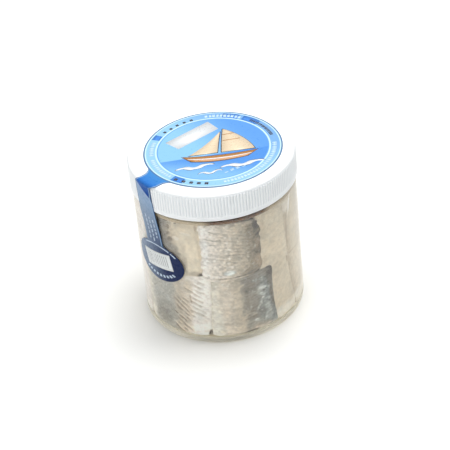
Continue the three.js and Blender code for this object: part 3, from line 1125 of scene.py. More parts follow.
@dataclass
class Fillet:
    """One herring piece: a slab bent to the wall, whose outline is a square with rounded corners.

    Its first tone covers all of it, and zones, touches and strokes are painted over it. It stands out
    by its lift. sag bends its foot and its head upwards in the middle, and lean bends its left and its
    right side towards the right. grain and mottle vary its brightness finely and coarsely, and ragged
    is how far small teeth move its edges.
    """

    name: str
    corners: Corners
    first: Tone
    zones: tuple[Zone, ...] = ()
    touches: tuple[Touch, ...] = ()
    strokes: tuple[Strokes, ...] = ()
    seed: int = 1
    lift: float = 0.0
    sag: Pair = (0.0, 0.0)
    lean: Pair = (0.0, 0.0)
    grain: float = 0.02
    ragged: float = 0.3
    mottle: float = 0.0
    thickness: float = 11.0
    spacing: float = 0.4
    hidden_spacing: float = 2.5
    outline_power: float = 12.0
    section_power: float = 9.0

    def section(self, half_width: float) -> tuple[Array, Array]:
        """Evenly spaced points round the piece's level section, a rounded square.

        A cosine and a sine, each raised to 2 / section_power with its sign kept, give a dense outline,
        and points are picked along it at even steps of its length, with wider steps at the back.

        Args:
            half_width: Half size across, in millimetres.

        Returns:
            The points across and in depth, each from -1 to 1.
        """
        turn = np.linspace(0, 2 * np.pi, 6001)
        across = signed_power(np.cos(turn), 2 / self.section_power)
        depth = -signed_power(np.sin(turn), 2 / self.section_power)
        step = np.hypot(np.diff(across) * half_width, np.diff(depth) * (self.thickness / 2))
        middle = (depth[1:] + depth[:-1]) / 2
        wider = (self.hidden_spacing - self.spacing) * smoothstep(0.1, 0.7, -middle)
        length = np.concatenate([[0], np.cumsum(step / (self.spacing + wider))])
        at = np.linspace(0, length[-1], max(24, round(length[-1])), endpoint=False)
        return np.interp(at, length, across), np.interp(at, length, depth)

    def rows(self, half_height: float) -> tuple[Array, Array]:
        """The piece's rows, evenly spaced along its rounded outline.

        Args:
            half_height: Half its height, in millimetres.

        Returns:
            The heights, from -1 to 1, and the widths, from 0 to 1.
        """
        turn = np.linspace(-np.pi / 2, np.pi / 2, 4001)
        up = signed_power(np.sin(turn), 2 / self.outline_power)
        width = np.abs(np.cos(turn)) ** (2 / self.outline_power)
        step = np.hypot(np.diff(up) * half_height, np.diff(width) * self.thickness / 2)
        length = np.concatenate([[0], np.cumsum(step)])
        count = round(length[-1] / self.spacing)
        at = np.linspace(0, length[-1], count)[1:-1]
        return np.interp(at, length, up), np.interp(at, length, width)

    def wall_place(self, across: Array, up: Array) -> tuple[Array, Array]:
        """Blends a place in the outline between the piece's four corners.

        Args:
            across: Places across, from -1 to 1.
            up: Places upwards, from -1 to 1.

        Returns:
            Angles and heights.
        """
        foot_left, foot_right, head_right, head_left = np.array(self.corners)
        right, above = (1 + across) / 2, (1 + up) / 2
        foot = foot_left + (foot_right - foot_left) * right[..., None]
        head = head_left + (head_right - head_left) * right[..., None]
        place = foot + (head - foot) * above[..., None]
        angle = place[..., 0] + (self.lean[0] * (1 - right) + self.lean[1] * right) * (1 - up**2)
        height = place[..., 1] + (self.sag[0] * (1 - above) + self.sag[1] * above) * (1 - across**2)
        return angle, height

    def zone_share(self, zone: Zone, angle: Array, height: Array) -> Array:
        """How far places lie inside a zone, with noise along its edge.

        Args:
            zone: The zone.
            angle: Angles round the jar.
            height: Heights.

        Returns:
            Shares from 0 to 1.
        """
        low, high = self.corners[0][1], self.corners[3][1]
        edge = zone.foot + (zone.head - zone.foot) * (height - low) / (high - low)
        arc = arc_length(angle)
        rough = layered_noise(arc, height, 3.2, self.seed * 7 + 3)
        fine = layered_noise(arc, height, 1.1, self.seed + 5, 2)
        away = arc_length(angle - edge) + zone.ragged * (rough + 0.6 * fine)
        return smoothstep(-zone.soft, zone.soft, away)

    def touch_share(self, touch: Touch, angle: Array, height: Array) -> Array:
        """How far a touch covers places, with noise along its rim.

        Args:
            touch: The touch.
            angle: Angles round the jar.
            height: Heights.

        Returns:
            Shares from 0 to the touch's strength.
        """
        across, up = arc_length(angle - touch.angle), height - touch.height
        turn = math.radians(touch.tilt)
        along = (across * math.cos(turn) + up * math.sin(turn)) / touch.wide
        over = (up * math.cos(turn) - across * math.sin(turn)) / touch.tall
        size = min(3.0, 1.0 + min(touch.wide, touch.tall))
        rough = layered_noise(arc_length(angle), height, size, self.seed * 5 + 1)
        return touch.strength * (1 - smoothstep(0.45, 1.15, np.hypot(along, over) + 0.35 * rough))

    def stroke_mask(self, stroke: Strokes, angle: Array, height: Array) -> tuple[Array, Array]:
        """Where strokes lie, and where a painted highlight lightens the skin beside them.

        Turned coordinates run along and across the rows. Each row is a bell curve across, cut into
        strokes by noise that runs along it and differs from row to row.

        Args:
            stroke: The strokes' place and form.
            angle: Angles round the jar.
            height: Heights.

        Returns:
            Both masks, from 0 to 1.
        """
        arc = arc_length(angle)
        turn = math.radians(stroke.tilt)
        along = arc * math.cos(turn) + height * math.sin(turn)
        over = (height * math.cos(turn) - arc * math.sin(turn)) / stroke.spacing
        over = over + 0.4 * layered_noise(arc, height, 7.0, self.seed + 53, 2)
        row = np.floor(over + 0.5)
        away = over - row
        own = lattice_noise(row + 0.0, np.zeros_like(row), self.seed + 59)
        gaps = lattice_noise(along / stroke.length + 7 * own, row * 5.0 + 0.5, self.seed + 61)
        inside = window(stroke.left, stroke.right, 2, angle + 5 * (own - 0.5))
        inside *= window(stroke.low, stroke.high, 2, height)
        cut = smoothstep(0.22, 0.5, gaps) * inside * (0.55 + 0.45 * own)
        return np.exp(-((away / 0.27) ** 2)) * cut, np.exp(-(((away - 0.42) / 0.2) ** 2)) * cut

    def paint(self, angle: Array, height: Array) -> tuple[Array, ...]:
        """The colour, silver, darkness and relief of each place.

        Zones are laid from left to right and touches over them, each blended in by its share. Then
        strokes darken thin slanting lines beside a painted highlight, layered noise varies the brightness,
        and painted light makes the foot lighter.

        Args:
            angle: Angles round the jar.
            height: Heights.

        Returns:
            Linear colours, silver and dark shares, and the relief in millimetres.
        """
        arc = arc_length(angle)
        tone = np.broadcast_to(self.first.numbers, angle.shape + (5,)).copy()
        for zone in self.zones:
            tone += (zone.tone.numbers - tone) * self.zone_share(zone, angle, height)[..., None]
        for touch in self.touches:
            tone += (touch.tone.numbers - tone) * self.touch_share(touch, angle, height)[..., None]
        relief = 0.16 * layered_noise(arc, height, 9.0, self.seed + 11)
        relief += 0.03 * layered_noise(arc, height, 2.0, self.seed + 29)
        tint = np.ones(angle.shape + (3,))
        for stroke in self.strokes:
            line, beside = self.stroke_mask(stroke, angle, height)
            tint *= 1 - stroke.dark * line[..., None] * np.array([0.88, 1.0, 1.12])
            # Painted highlight: the skin beside each stroke is lighter.
            tint *= 1 + stroke.painted_gleam * beside[..., None]
            relief -= stroke.depth * line
        shade = 1 + 0.05 * layered_noise(arc, height, 6.0, self.seed + 41)
        # Painted light: the piece grows lighter towards its foot, below 16 mm.
        shade += 0.12 * (1 - smoothstep(8.0, 16.0, height))
        shade += self.grain * layered_noise(arc, height * 1.2, 1.3, self.seed + 97, 2)
        shade += self.mottle * layered_noise(arc, height * 0.8, 3.4, self.seed + 107, 3)
        warm = 0.012 * layered_noise(arc, height, 4.0, self.seed + 103, 2)
        hue = warm[..., None] * np.array([1.0, 0.0, -1.0])
        colour = np.clip(tone[..., :3] / 255 * (tint + hue) * shade[..., None], 0, 1) ** 2.2
        return colour, tone[..., 3], tone[..., 4], relief

    def build(self, face_radius: float, finish: Material) -> Object:
        """Makes the piece.

        Its rows shrink towards the top and bottom as the outline does, and every point is bent to the
        wall: the depth of 1 lies at the face radius. The edges wander a little, and the face has the
        painted relief.

        Args:
            face_radius: Distance of the outer face from the jar's axis.
            finish: The material.

        Returns:
            The piece.
        """
        corner = np.array(self.corners)
        side_across, side_depth = self.section(arc_length(abs(corner[1, 0] - corner[0, 0]), face_radius) / 2)
        row_up, row_width = self.rows(abs(corner[3, 1] - corner[0, 1]) / 2)
        count, columns = len(row_up), len(side_across)
        across = np.concatenate([np.outer(row_width, side_across).ravel(), [0, 0]])
        depth = np.concatenate([np.outer(row_width, side_depth).ravel(), [0, 0]])
        up = np.concatenate([np.repeat(row_up, columns), [-1, 1]])
        angle, height = self.wall_place(across, up)
        arc = arc_length(angle, face_radius)
        edge = np.maximum(np.abs(across), np.abs(up)) ** 6
        side = layered_noise(np.full_like(arc, self.seed * 31.0), height, 9.0, self.seed + 71)
        teeth = layered_noise(np.sign(across) * 40.0, height, 2.6, self.seed + 73, 2)
        angle = angle + edge * (0.45 * side + self.ragged * teeth) / DEGREE
        rise = layered_noise(arc, np.full_like(arc, self.seed * 17.0), 9.0, self.seed + 83)
        height = height + 0.4 * edge * rise
        colour, silver, dark, relief = self.paint(angle, height)
        radius = face_radius + self.lift - self.thickness * (1 - depth) / 2
        radius += np.clip(relief, -0.6, 0.25) * smoothstep(0.0, 0.8, depth)
        quads, fans = grid_quads(count, columns, True)[:, ::-1], pole_fans(count, columns)[:, [0, 2, 1]]
        piece = make_mesh(self.name, polar(angle, radius, height), quads, fans)
        paint = np.concatenate([colour, np.ones((len(colour), 1))], axis=-1).astype(np.float32)
        piece.data.attributes.new("paint", "FLOAT_COLOR", "POINT").data.foreach_set("color", paint.ravel())
        set_numbers(piece, "silver", silver)
        set_numbers(piece, "dark", dark)
        return dress(piece, finish, "herring", "herring")


def patches(tone: Tone, *places: tuple[float, ...]) -> tuple[Touch, ...]:
    """Touches of one tone, each by its angle, height, half sizes, strength and tilt."""
    return tuple(Touch(tone, *place) for place in places)


def scattered(
    tones: tuple[Tone, ...], left: float, right: float, low: float, high: float,
    seed: int, count: int, strength: float, size: float = 1.0,
) -> tuple[Touch, ...]:
    """Touches spread unevenly but sparsely, by the golden ratio along and the square root of 2 up.

    Args:
        tones: Their tones, in turn.
        left: The least angle.
        right: The greatest angle.
        low: The least height.
        high: The greatest height.
        seed: Shifts the places.
        count: How many there are.
        strength: How far each covers what is below.
        size: A factor for the half sizes.

    Returns:
        The touches.
    """
    touches = []
    for index in range(count):
        along, up = (index * 0.618 + seed * 0.37) % 1, (index * 0.4142 + seed * 0.53) % 1
        wide, tall = size * (0.7 + 1.3 * along * up), size * (0.5 + 0.9 * (1 - along))
        place = left + (right - left) * along, low + 2 + (high - low - 4) * up
        touches.append(Touch(tones[index % len(tones)], *place, wide, tall, strength, 50 * (up - 0.5)))
    return tuple(touches)


def skin_piece(name: str, corners: Corners, back_right: bool, seed: int) -> Fillet:
    """A piece that shows its skin: silver on one side, a dark back on the other.

    Args:
        name: The piece's name.
        corners: Its four corners.
        back_right: Whether the dark back is on the right.
        seed: Picks its noise.

    Returns:
        The piece.
    """
    left, right = corners[0][0], corners[1][0]
    low, high = corners[0][1], corners[3][1]

    def at(share: float) -> float:
        """The angle at a share of the piece's width."""
        return left + (right - left) * share

    tones = (Tone.PEARL, Tone.SAND, Tone.TAUPE, Tone.BACK)
    shares, lined, lit, shaded, tilt = (0.28, 0.55, 0.75), (0.0, 0.6), (0.03, 0.5), (0.72, 0.97), -20
    if not back_right:
        tones = tones[::-1]
        shares, lined, lit, shaded, tilt = (0.25, 0.42, 0.7), (0.3, 0.95), (0.5, 0.97), (0.03, 0.28), -45
    slant = (seed % 3 - 1) * 2.0
    zones = tuple(
        Zone(tone, at(share), at(share) + slant, 3.0, 1.6) for tone, share in zip(tones[1:], shares)
    )
    strokes = (Strokes(at(lined[0]), at(lined[1]), low, high, tilt, 2.8, 3.2, 0.17, 0.1, 0.14),)
    bright, dull = (Tone.WHITE, Tone.ICE, Tone.WHITE, Tone.SAND), (Tone.DEEP, Tone.INK, Tone.STEEL)
    touches = scattered(bright, at(lit[0]), at(lit[1]), low, high, seed, 14, 0.6)
    touches += scattered(dull, at(shaded[0]), at(shaded[1]), low, high, seed + 1, 11, 0.55)
    return Fillet(
        name, corners, tones[0], zones, touches, strokes, seed, grain=0.09, ragged=0.8, mottle=0.06
    )


def flesh_piece(name: str, corners: Corners, seed: int) -> Fillet:
    """A piece that shows its cut side: plain cream flesh with faint muscle lines.

    Args:
        name: The piece's name.
        corners: Its four corners.
        seed: Picks its noise.

    Returns:
        The piece.
    """
    left, right = corners[0][0], corners[1][0]
    low, high = corners[0][1], corners[3][1]
    middle = (left + right) / 2
    zones = (Zone(Tone.CREAM, middle - 6, middle - 4, 5.0), Zone(Tone.FLESH, middle + 8, middle + 10, 5.0))
    strokes = (Strokes(left, right, low, high, 30, 4.2, 9.0, 0.025, 0.01, 0.03),)
    touches = scattered((Tone.TAN, Tone.SAND, Tone.ROSE), left, right, low, high, seed, 12, 0.5, 2.6)
    place = middle + 3 * math.sin(seed), (low + high) / 2
    seam = Touch(Tone.BROWN, *place, 0.35, (high - low) * 0.45, 0.4, 4 * math.cos(seed))
    return Fillet(
        name, corners, Tone.FLESH, zones, (*touches, seam), strokes, seed,
        grain=0.05, ragged=0.4, mottle=0.03,
    )


@dataclass
class Herring:
    """The heap: two rows of pieces round the wall, over a core in the shade between them."""

    jar: Jar
    row_top: float = 82.6
    row_floor: float = 4.9
    face_gap: float = 0.42
    core_radius: float = 38.0
    core_flats: int = 96

    def upper_left(self) -> Fillet:
        """The upper piece behind the strip: its dark back on the left, cream flesh on the right."""
        touches = (
            Touch(Tone.DEEP, -38.5, 75.3, 1.6, 1.2, 0.5), Touch(Tone.INK, -37, 68, 2, 1.7, 0.55, 30),
            Touch(Tone.DEEP, -38.5, 71.8, 1.3, 1.2, 0.5), Touch(Tone.INK, -40.6, 64.2, 1.3, 1, 0.6),
            Touch(Tone.DEEP, -36.6, 63, 1.4, 0.8, 0.6),
            *patches(Tone.INK, (-31.4, 79.6, 1.2, 0.6, 0.75, 20), (-28.4, 80.2, 1, 0.6, 0.7)),
            *patches(Tone.DEEP, (-37.8, 77, 1.1, 0.8, 0.7), (-35, 81.2, 5, 0.7, 0.6)),
            Touch(Tone.BACK, -36.5, 79, 2, 1.2, 0.4), Touch(Tone.WHITE, -32, 69.6, 2.2, 1.5, 0.55, -20),
            Touch(Tone.CREAM, -36, 73.4, 1.4, 1, 0.5), Touch(Tone.TAUPE, -36.5, 65, 3, 5, 0.35),
            Touch(Tone.WHITE, -24, 73.6, 3.6, 1.2, 0.3, -8), Touch(Tone.TAN, -26, 79, 6, 2.4, 0.7),
            # Painted shadow of the label's oval: the BACK and STONE touches here and the first TAUPE touch
            # below darken the piece round the oval's edge.
            Touch(Tone.BACK, -38.5, 64, 5.4, 3.4, 1, -20), Touch(Tone.STONE, -33.5, 60, 4.6, 2.2, 0.8, -38),
            *patches(Tone.TAUPE, (-27, 54, 2.4, 5.5, 0.8), (-18.5, 47.8, 5.4, 2, 0.9)),
            Touch(Tone.INK, -39.5, 80, 3, 0.7, 0.6, 14),
            *patches(Tone.BROWN, (-20.5, 81, 4.5, 1, 0.6), (-16.6, 78.5, 0.8, 4, 0.6)),
            Touch(Tone.TAN, -15.9, 62, 0.6, 12, 0.5), Touch(Tone.GAP, -16.1, 47.1, 2.3, 1.3, 1, 25),
            Touch(Tone.BROWN, -20, 46.9, 3, 0.4, 0.5, -6),
        )
        return Fillet(
            "herring_upper_1",
            ((-63, 45), (-13.5, 45.2), (-13.5, self.row_top), (-63, self.row_top)),
            Tone.BACK,
            zones=(Zone(Tone.TAUPE, -42, -40, 2.5, 3), Zone(Tone.CREAM, -37, -34, 3, 2)),
            touches=touches,
            strokes=(Strokes(-46, -33, 50, 80, 38, 2.2, 2.6, 0.1, 0.04, 0.06),),
            seed=3, lift=-0.5, grain=0.05, ragged=0.3, mottle=0.11,
        )

    def upper_middle(self) -> Fillet:
        """The large skin piece in the middle: white at its left edge, a dark back at its right."""
        touches = (
            Touch(Tone.BROWN, 27, 51, 3.6, 5.4, 0.9), Touch(Tone.CLAY, 19.5, 47.4, 6, 2.4, 0.95, 14),
            Touch(Tone.TAUPE, 12, 48.5, 3.5, 2.6, 0.6), Touch(Tone.SAND, -4, 48, 6, 4, 0.4),
            *patches(Tone.INK, (26, 75.6, 2, 3, 0.85), (27.2, 73.2, 2, 1.3, 0.9, 10)),
            Touch(Tone.DEEP, 20.5, 46.2, 3.2, 0.8, 0.85, 12),
            *patches(Tone.TAUPE, (7.5, 54.6, 4.6, 2.2, 0.6), (7.5, 46.6, 4, 1.4, 0.6)),
            Touch(Tone.INK, 27.6, 69.2, 2.2, 0.9, 0.9, 15), Touch(Tone.DEEP, 25.4, 71.5, 1.4, 2.2, 0.5),
            # Painted light: the PEARL touch on this line lightens the top edge over the shade of its
            # rounding.
            Touch(Tone.BROWN, 26.4, 63.6, 2.2, 3.6, 0.5), Touch(Tone.PEARL, 13, 79.5, 11, 0.7, 0.8, -3.5),
            Touch(Tone.DEEP, 23.6, 59.4, 2.2, 1.1, 0.6, 10), Touch(Tone.INK, 25.2, 57.6, 1.2, 1, 0.6),
            Touch(Tone.DUNE, 18, 78.2, 7, 1.4, 0.85), Touch(Tone.GAP, 24.4, 45, 1.9, 0.8, 0.9, 20),
            # Painted shade: the DEEP and BROWN lines on this line darken the foot edge, where it lies over
            # the piece below.
            Touch(Tone.DEEP, 14, 44.9, 9, 0.55, 0.9, 3), Touch(Tone.BROWN, -1, 44.5, 7, 0.35, 0.7, 1),
            *patches(
                Tone.DEEP, (-6, 75.7, 2, 0.32, 0.75, -22), (-6.2, 70.5, 5.2, 0.3, 0.55, -13),
                (-5.7, 67.4, 1.8, 0.32, 0.65, -4),
            ),
            Touch(Tone.BACK, -9.6, 79.6, 1, 0.35, 0.7, 10),
            *patches(Tone.PEARL, (-8.5, 73.4, 4.6, 0.8, 0.8, -16), (-5, 77.2, 3, 0.6, 0.6, -22)),
            Touch(Tone.WHITE, -11.6, 62, 2, 11, 0.75), Touch(Tone.DUNE, -9.5, 79.6, 2.6, 1.1, 0.5),
            *patches(
                Tone.WHITE, (4, 71.6, 0.7, 0.6, 0.6), (4.6, 68.4, 0.8, 1.2, 0.6), (7, 70.6, 0.6, 0.7, 0.5),
                (6, 63.4, 0.8, 0.6, 0.6), (3.8, 61.2, 0.9, 0.5, 0.5), (7.8, 62.2, 0.7, 0.6, 0.5),
                (5.4, 57.6, 0.8, 1, 0.6), (4.6, 54.6, 1.1, 0.9, 0.6),
            ),
            Touch(Tone.PEARL, 5.5, 51.8, 2.4, 0.7, 0.6, 4),
            *patches(Tone.BACK, (8, 54.6, 1.8, 0.35, 0.6, -15), (7, 59.6, 2.4, 0.35, 0.45, -10)),
            Touch(Tone.ICE, 4.6, 48, 4.2, 1.6, 0.9),
            *patches(Tone.BACK, (6.5, 50.1, 4.2, 0.28, 0.5, 3), (-6, 56, 3.4, 0.25, 0.4, -3)),
            Touch(Tone.PEARL, -2, 46.2, 5, 0.9, 0.6, -3),
        )
        return Fillet(
            "herring_upper_2",
            ((-15.2, 43.4), (29.2, 44.6), (29.6, 78.3), (-15.4, 81)),
            Tone.PEARL,
            zones=(
                Zone(Tone.SILVER, -8.5, -8.5, 2, 0.8), Zone(Tone.SAND, -1, -3, 3, 1),
                Zone(Tone.DUNE, 8, 6, 3, 1.5), Zone(Tone.TAUPE, 13, 13, 3, 1.5),
                Zone(Tone.CLAY, 20.5, 18, 2.5, 1.5), Zone(Tone.UMBER, 26, 23, 1.6, 2.2),
            ),
            touches=touches,
            strokes=(
                Strokes(-13, 22, 44, 64, -8, 2.6, 3, 0.08, 0.05, 0.08),
                Strokes(-2, 24, 56, 80, -14, 2, 2, 0.1, 0.08, 0.08),
            ),
            seed=5, lift=0.12, sag=(-1.5, 0.3), lean=(0, 0.6), grain=0.2, ragged=1.4, mottle=0.05,
        )

    def upper_right(self) -> Fillet:
        """The upper piece of plain cut flesh, right of the middle."""
        touches = (
            Touch(Tone.TAN, 38, 80, 10, 3, 0.6), Touch(Tone.ROSE, 42.8, 46.3, 4, 3, 0.3),
            *patches(Tone.TAN, (31.5, 70, 2.4, 9, 0.7), (31.6, 50, 2, 4, 0.6)),
            *patches(Tone.ROSE, (30.6, 66, 0.8, 0.7, 0.6), (30.9, 58, 0.8, 0.6, 0.6)),
        )
        return Fillet(
            "herring_upper_3",
            ((26, 41.5), (56.6, 41.5), (52.4, 81.6), (26, 81.2)),
            Tone.FLESH,
            zones=(Zone(Tone.CREAM, 35, 37, 4), Zone(Tone.TAN, 55.6, 51.6, 1)),
            touches=touches,
            strokes=(Strokes(31, 54, 45, 80, 35, 4.5, 9, 0.025, 0.015, 0.03),),
            seed=7, lift=-0.65, grain=0.07, ragged=0.2,
        )

    def upper_far_right(self) -> Fillet:
        """The upper flesh piece at the far right, with a painted highlight down its left edge."""
        touches = (
            # Painted highlight: the WHITE patches are a streak of light down the left edge.
            *patches(Tone.WHITE, (56, 75.4, 4.6, 4.8, 0.5), (60.6, 74.2, 6.8, 1.1, 1, 74)),
            Touch(Tone.FLESH, 66, 55, 6, 9, 0.6), Touch(Tone.TAN, 80, 76, 8, 5, 0.7),
            *patches(Tone.BROWN, (55.4, 60, 0.6, 12, 0.6), (64, 42.6, 8, 0.55, 0.8, -6)),
        )
        return Fillet(
            "herring_upper_4",
            ((55.2, 42.4), (97.6, 40.4), (96.9, self.row_top - 1), (50.8, 81.8)),
            Tone.TAN,
            zones=(Zone(Tone.FLESH, 60, 58, 3), Zone(Tone.TAN, 74, 72, 5)),
            touches=touches,
            strokes=(Strokes(57, 90, 45, 80, 30, 5, 9, 0.025, 0.01, 0.03),),
            seed=9, lift=-0.55, grain=0.07, ragged=0.2,
        )

    def lower_left(self) -> Fillet:
        """The lower skin piece under the oval: a grey back, then slanting strokes on bright silver."""
        touches = (
            Touch(Tone.DEEP, -51.5, 12.5, 7.5, 6, 0.45), Touch(Tone.BACK, -49, 19, 8, 5, 0.4, 25),
            Touch(Tone.ICE, -46, 26.5, 2.6, 2.4, 0.25), Touch(Tone.ROSE, -37.2, 25, 2, 7, 0.5),
            Touch(Tone.TAN, -27.5, 38, 3.6, 5, 0.55), Touch(Tone.ICE, -20, 22, 4, 8, 0.35),
            Touch(Tone.BROWN, -25.6, 30, 0.5, 3.4, 0.6, 8), Touch(Tone.WHITE, -20, 44, 7, 1.6, 0.6, -3),
            Touch(Tone.SAND, -14, 8.5, 6, 2.5, 0.4), Touch(Tone.GAP, -13.5, 8, 2.4, 0.7, 1, 72),
        )
        return Fillet(
            "herring_lower_1",
            ((-68.2, self.row_floor), (-12.4, self.row_floor), (-8.4, 46), (-68.2, 46.6)),
            Tone.SHELL,
            zones=(
                Zone(Tone.STEEL, -60.5, -62.5, 3, 1), Zone(Tone.DUNE, -39.5, -37.5, 3, 2),
                Zone(Tone.SAND, -32, -30, 3, 1.5), Zone(Tone.PEARL, -27, -24, 2, 1.2),
                Zone(Tone.WHITE, -20, -19, 2, 1),
            ),
            touches=touches,
            strokes=(
                Strokes(-39, -27.5, 5, 30, -40, 2.5, 2.8, 0.4, 0.2, 0.24),
                Strokes(-27, -15, 16, 44, -24, 3, 3.6, 0.22, 0.12, 0.2),
                Strokes(-60, -41, 5, 46, 40, 2, 3, 0.07, 0.04, 0.05),
            ),
            seed=11, lift=-0.2, sag=(0, 0.3), grain=0.12, ragged=0.3, mottle=0.05,
        )

    def lower_middle(self) -> Fillet:
        """The lower skin piece in the middle: pale on the left, a grey-blue back on the right."""
        touches = (
            Touch(Tone.BACK, 20, 41.5, 7, 3.5, 0.5), Touch(Tone.STEEL, 21, 11.5, 6, 4, 0.45),
            *patches(Tone.ICE, (32, 14, 2.4, 7.5, 0.25), (25.2, 32, 1.5, 3.6, 0.4, -20)),
            Touch(Tone.GAP, -12.7, 8.4, 0.8, 2.6, 1), Touch(Tone.INK, 34.6, 41.5, 3.8, 6, 0.85),
            Touch(Tone.STONE, 29.5, 42.5, 4, 3, 0.7), Touch(Tone.DEEP, 36.4, 21.5, 2.2, 4.6, 0.8),
            # Painted highlight: the SAND band at the foot is the highlight of the jar's heel.
            Touch(Tone.SAND, 27, 6.9, 10, 1.6, 0.75),
            *patches(
                Tone.DEEP, (35, 35.5, 2.6, 5, 0.85), (35.4, 28, 2.2, 5, 0.9),
                (36.8, 20.5, 4, 1.1, 0.75, 100),
            ),
            Touch(Tone.INK, 39, 12, 1, 4, 0.7), Touch(Tone.DEEP, 20.6, 34, 2.4, 1.6, 0.6),
            Touch(Tone.STONE, 10.4, 42.4, 3, 1.6, 0.5),
            *patches(Tone.ICE, (28.6, 32.6, 2, 0.9, 0.9), (26.8, 33, 2.8, 2.2, 0.4, -30)),
            Touch(Tone.INK, 28.8, 30.6, 0.9, 0.7, 0.75),
            *patches(
                Tone.ICE, (27, 28.8, 1.8, 1.2, 0.6, -50), (31, 24.6, 1.4, 0.7, 0.4, 30),
                (31, 19.6, 2.4, 3, 0.45), (32.4, 15.4, 1.4, 1.2, 0.4), (31.6, 11.8, 2.2, 2, 0.3),
            ),
            Touch(Tone.DEEP, 16.4, 33.8, 2.8, 2.4, 0.55), Touch(Tone.BROWN, 26, 8.8, 5, 1.2, 0.35),
            *patches(Tone.ICE, (21.6, 12.4, 2.4, 1.1, 0.7, -10), (18, 22.4, 0.7, 0.7, 0.5)),
            Touch(Tone.SLATE, 22.2, 39.2, 3, 1.2, 0.5), Touch(Tone.SILVER, 19.5, 17, 2, 1.4, 0.4),
            *patches(
                Tone.DEEP, (16.4, 41.8, 3.6, 0.35, 0.5, 6), (19.4, 36.4, 3.4, 0.35, 0.5, 14),
                (16.6, 32.6, 2.6, 0.5, 0.5, -6), (14.6, 35, 1.6, 0.5, 0.45, -30),
                (24.6, 22.4, 1.4, 0.6, 0.5),
            ),
            Touch(Tone.BACK, 12.4, 20.4, 1.2, 1.4, 0.4),
            # Painted shade: the last DEEP patch of this call is the dark line under the foot.
            *patches(
                Tone.DEEP, (29.4, 26, 2.4, 0.4, 0.5, 20), (33.4, 22.2, 1.6, 0.5, 0.5, 20),
                (27, 16.4, 1.8, 0.5, 0.45, -20), (8, 5.2, 8, 0.45, 0.7, 4),
            ),
            # Painted highlight: the CREAM band is the highlight of the jar's heel; the GAP touch is painted
            # shade under the foot.
            Touch(Tone.CREAM, 30.5, 5, 6.5, 1.1, 1), Touch(Tone.GAP, 17, 5.9, 4.2, 0.8, 1, 4),
            *patches(
                Tone.ICE, (24, 21, 1, 6, 0.4, -24), (28, 26, 1, 5, 0.45, -24), (29.6, 13, 1, 4, 0.45, -20),
            ),
            Touch(Tone.STEEL, 33.4, 15, 0.8, 5, 0.5, -14), Touch(Tone.SAND, 14.6, 19, 2.2, 2.2, 0.4),
            Touch(Tone.TAN, -4.4, 8.6, 3, 1.6, 0.4),
        )
        return Fillet(
            "herring_lower_2",
            ((-13.2, self.row_floor), (41.7, self.row_floor), (39.5, 46.7), (-9.6, 44)),
            Tone.SHELL,
            zones=(
                Zone(Tone.SAND, -3, -4, 3), Zone(Tone.DUNE, 4.5, 3.5, 3, 1.5),
                Zone(Tone.ROSE, 9, 7.5, 2, 1.2), Zone(Tone.STONE, 14, 11.5, 2.2, 2),
                Zone(Tone.SLATE, 25, 25, 4, 2),
            ),
            touches=touches,
            strokes=(
                Strokes(-8, 12, 26, 42, 3, 2.6, 6, 0.06, 0.03, 0.06),
                Strokes(-9, 12, 5, 26, -8, 3.4, 5, 0.05, 0.05, 0.06),
                Strokes(14, 36, 5, 43, 14, 1.9, 2.2, 0.16, 0.12, 0.1),
            ),
            seed=13, lift=-0.3, sag=(0, -1), lean=(0, -2.2), grain=0.13, ragged=0.5, mottle=0.09,
        )

    def lower_right(self) -> Fillet:
        """The lower piece of plain cut flesh, right of the middle."""
        touches = (
            Touch(Tone.TAN, 43, 40, 6, 6, 0.5), Touch(Tone.CREAM, 48, 18, 6, 12, 0.5),
            # Painted highlight: the SHELL band at the foot is the highlight of the jar's heel.
            Touch(Tone.BROWN, 53.4, 41.6, 0.8, 3.4, 0.8), Touch(Tone.SHELL, 50, 9.5, 16, 4.4, 0.9),
        )
        return Fillet(
            "herring_lower_3",
            ((37, self.row_floor), (62.6, self.row_floor), (54.6, 46.5), (35, 46.5)),
            Tone.FLESH,
            zones=(Zone(Tone.TAN, 60.8, 52.6, 1.2),),
            touches=touches,
            strokes=(Strokes(40, 62, 5, 43, 35, 4.5, 9, 0.025, 0.015, 0.03),),
            seed=7, lift=-0.65, lean=(0, -0.8), grain=0.07, ragged=0.2,
        )

    def lower_far_right(self) -> Fillet:
        """The lower flesh piece at the far right."""
        return Fillet(
            "herring_lower_4",
            ((62.2, self.row_floor), (102, self.row_floor), (98.4, 41.4), (54.2, 43.6)),
            Tone.TAN,
            zones=(Zone(Tone.FLESH, 66, 59, 2),),
            # Painted highlight: the SHELL band at the foot is the highlight of the jar's heel.
            touches=(Touch(Tone.CREAM, 72, 24, 5, 14, 0.3), Touch(Tone.SHELL, 68, 10.5, 9, 5.4, 0.8)),
            strokes=(Strokes(57, 98, 5, 43, 30, 5, 9, 0.025, 0.01, 0.03),),
            seed=19, lift=-0.5, lean=(-0.8, 0), grain=0.07, ragged=0.2,
        )

    def shown(self) -> list[Fillet]:
        """The pieces at the front, as they lie, with corners from lower left round to upper left."""
        return [
            self.upper_left(), self.upper_middle(), self.upper_right(), self.upper_far_right(),
            self.lower_left(), self.lower_middle(), self.lower_right(), self.lower_far_right(),
        ]

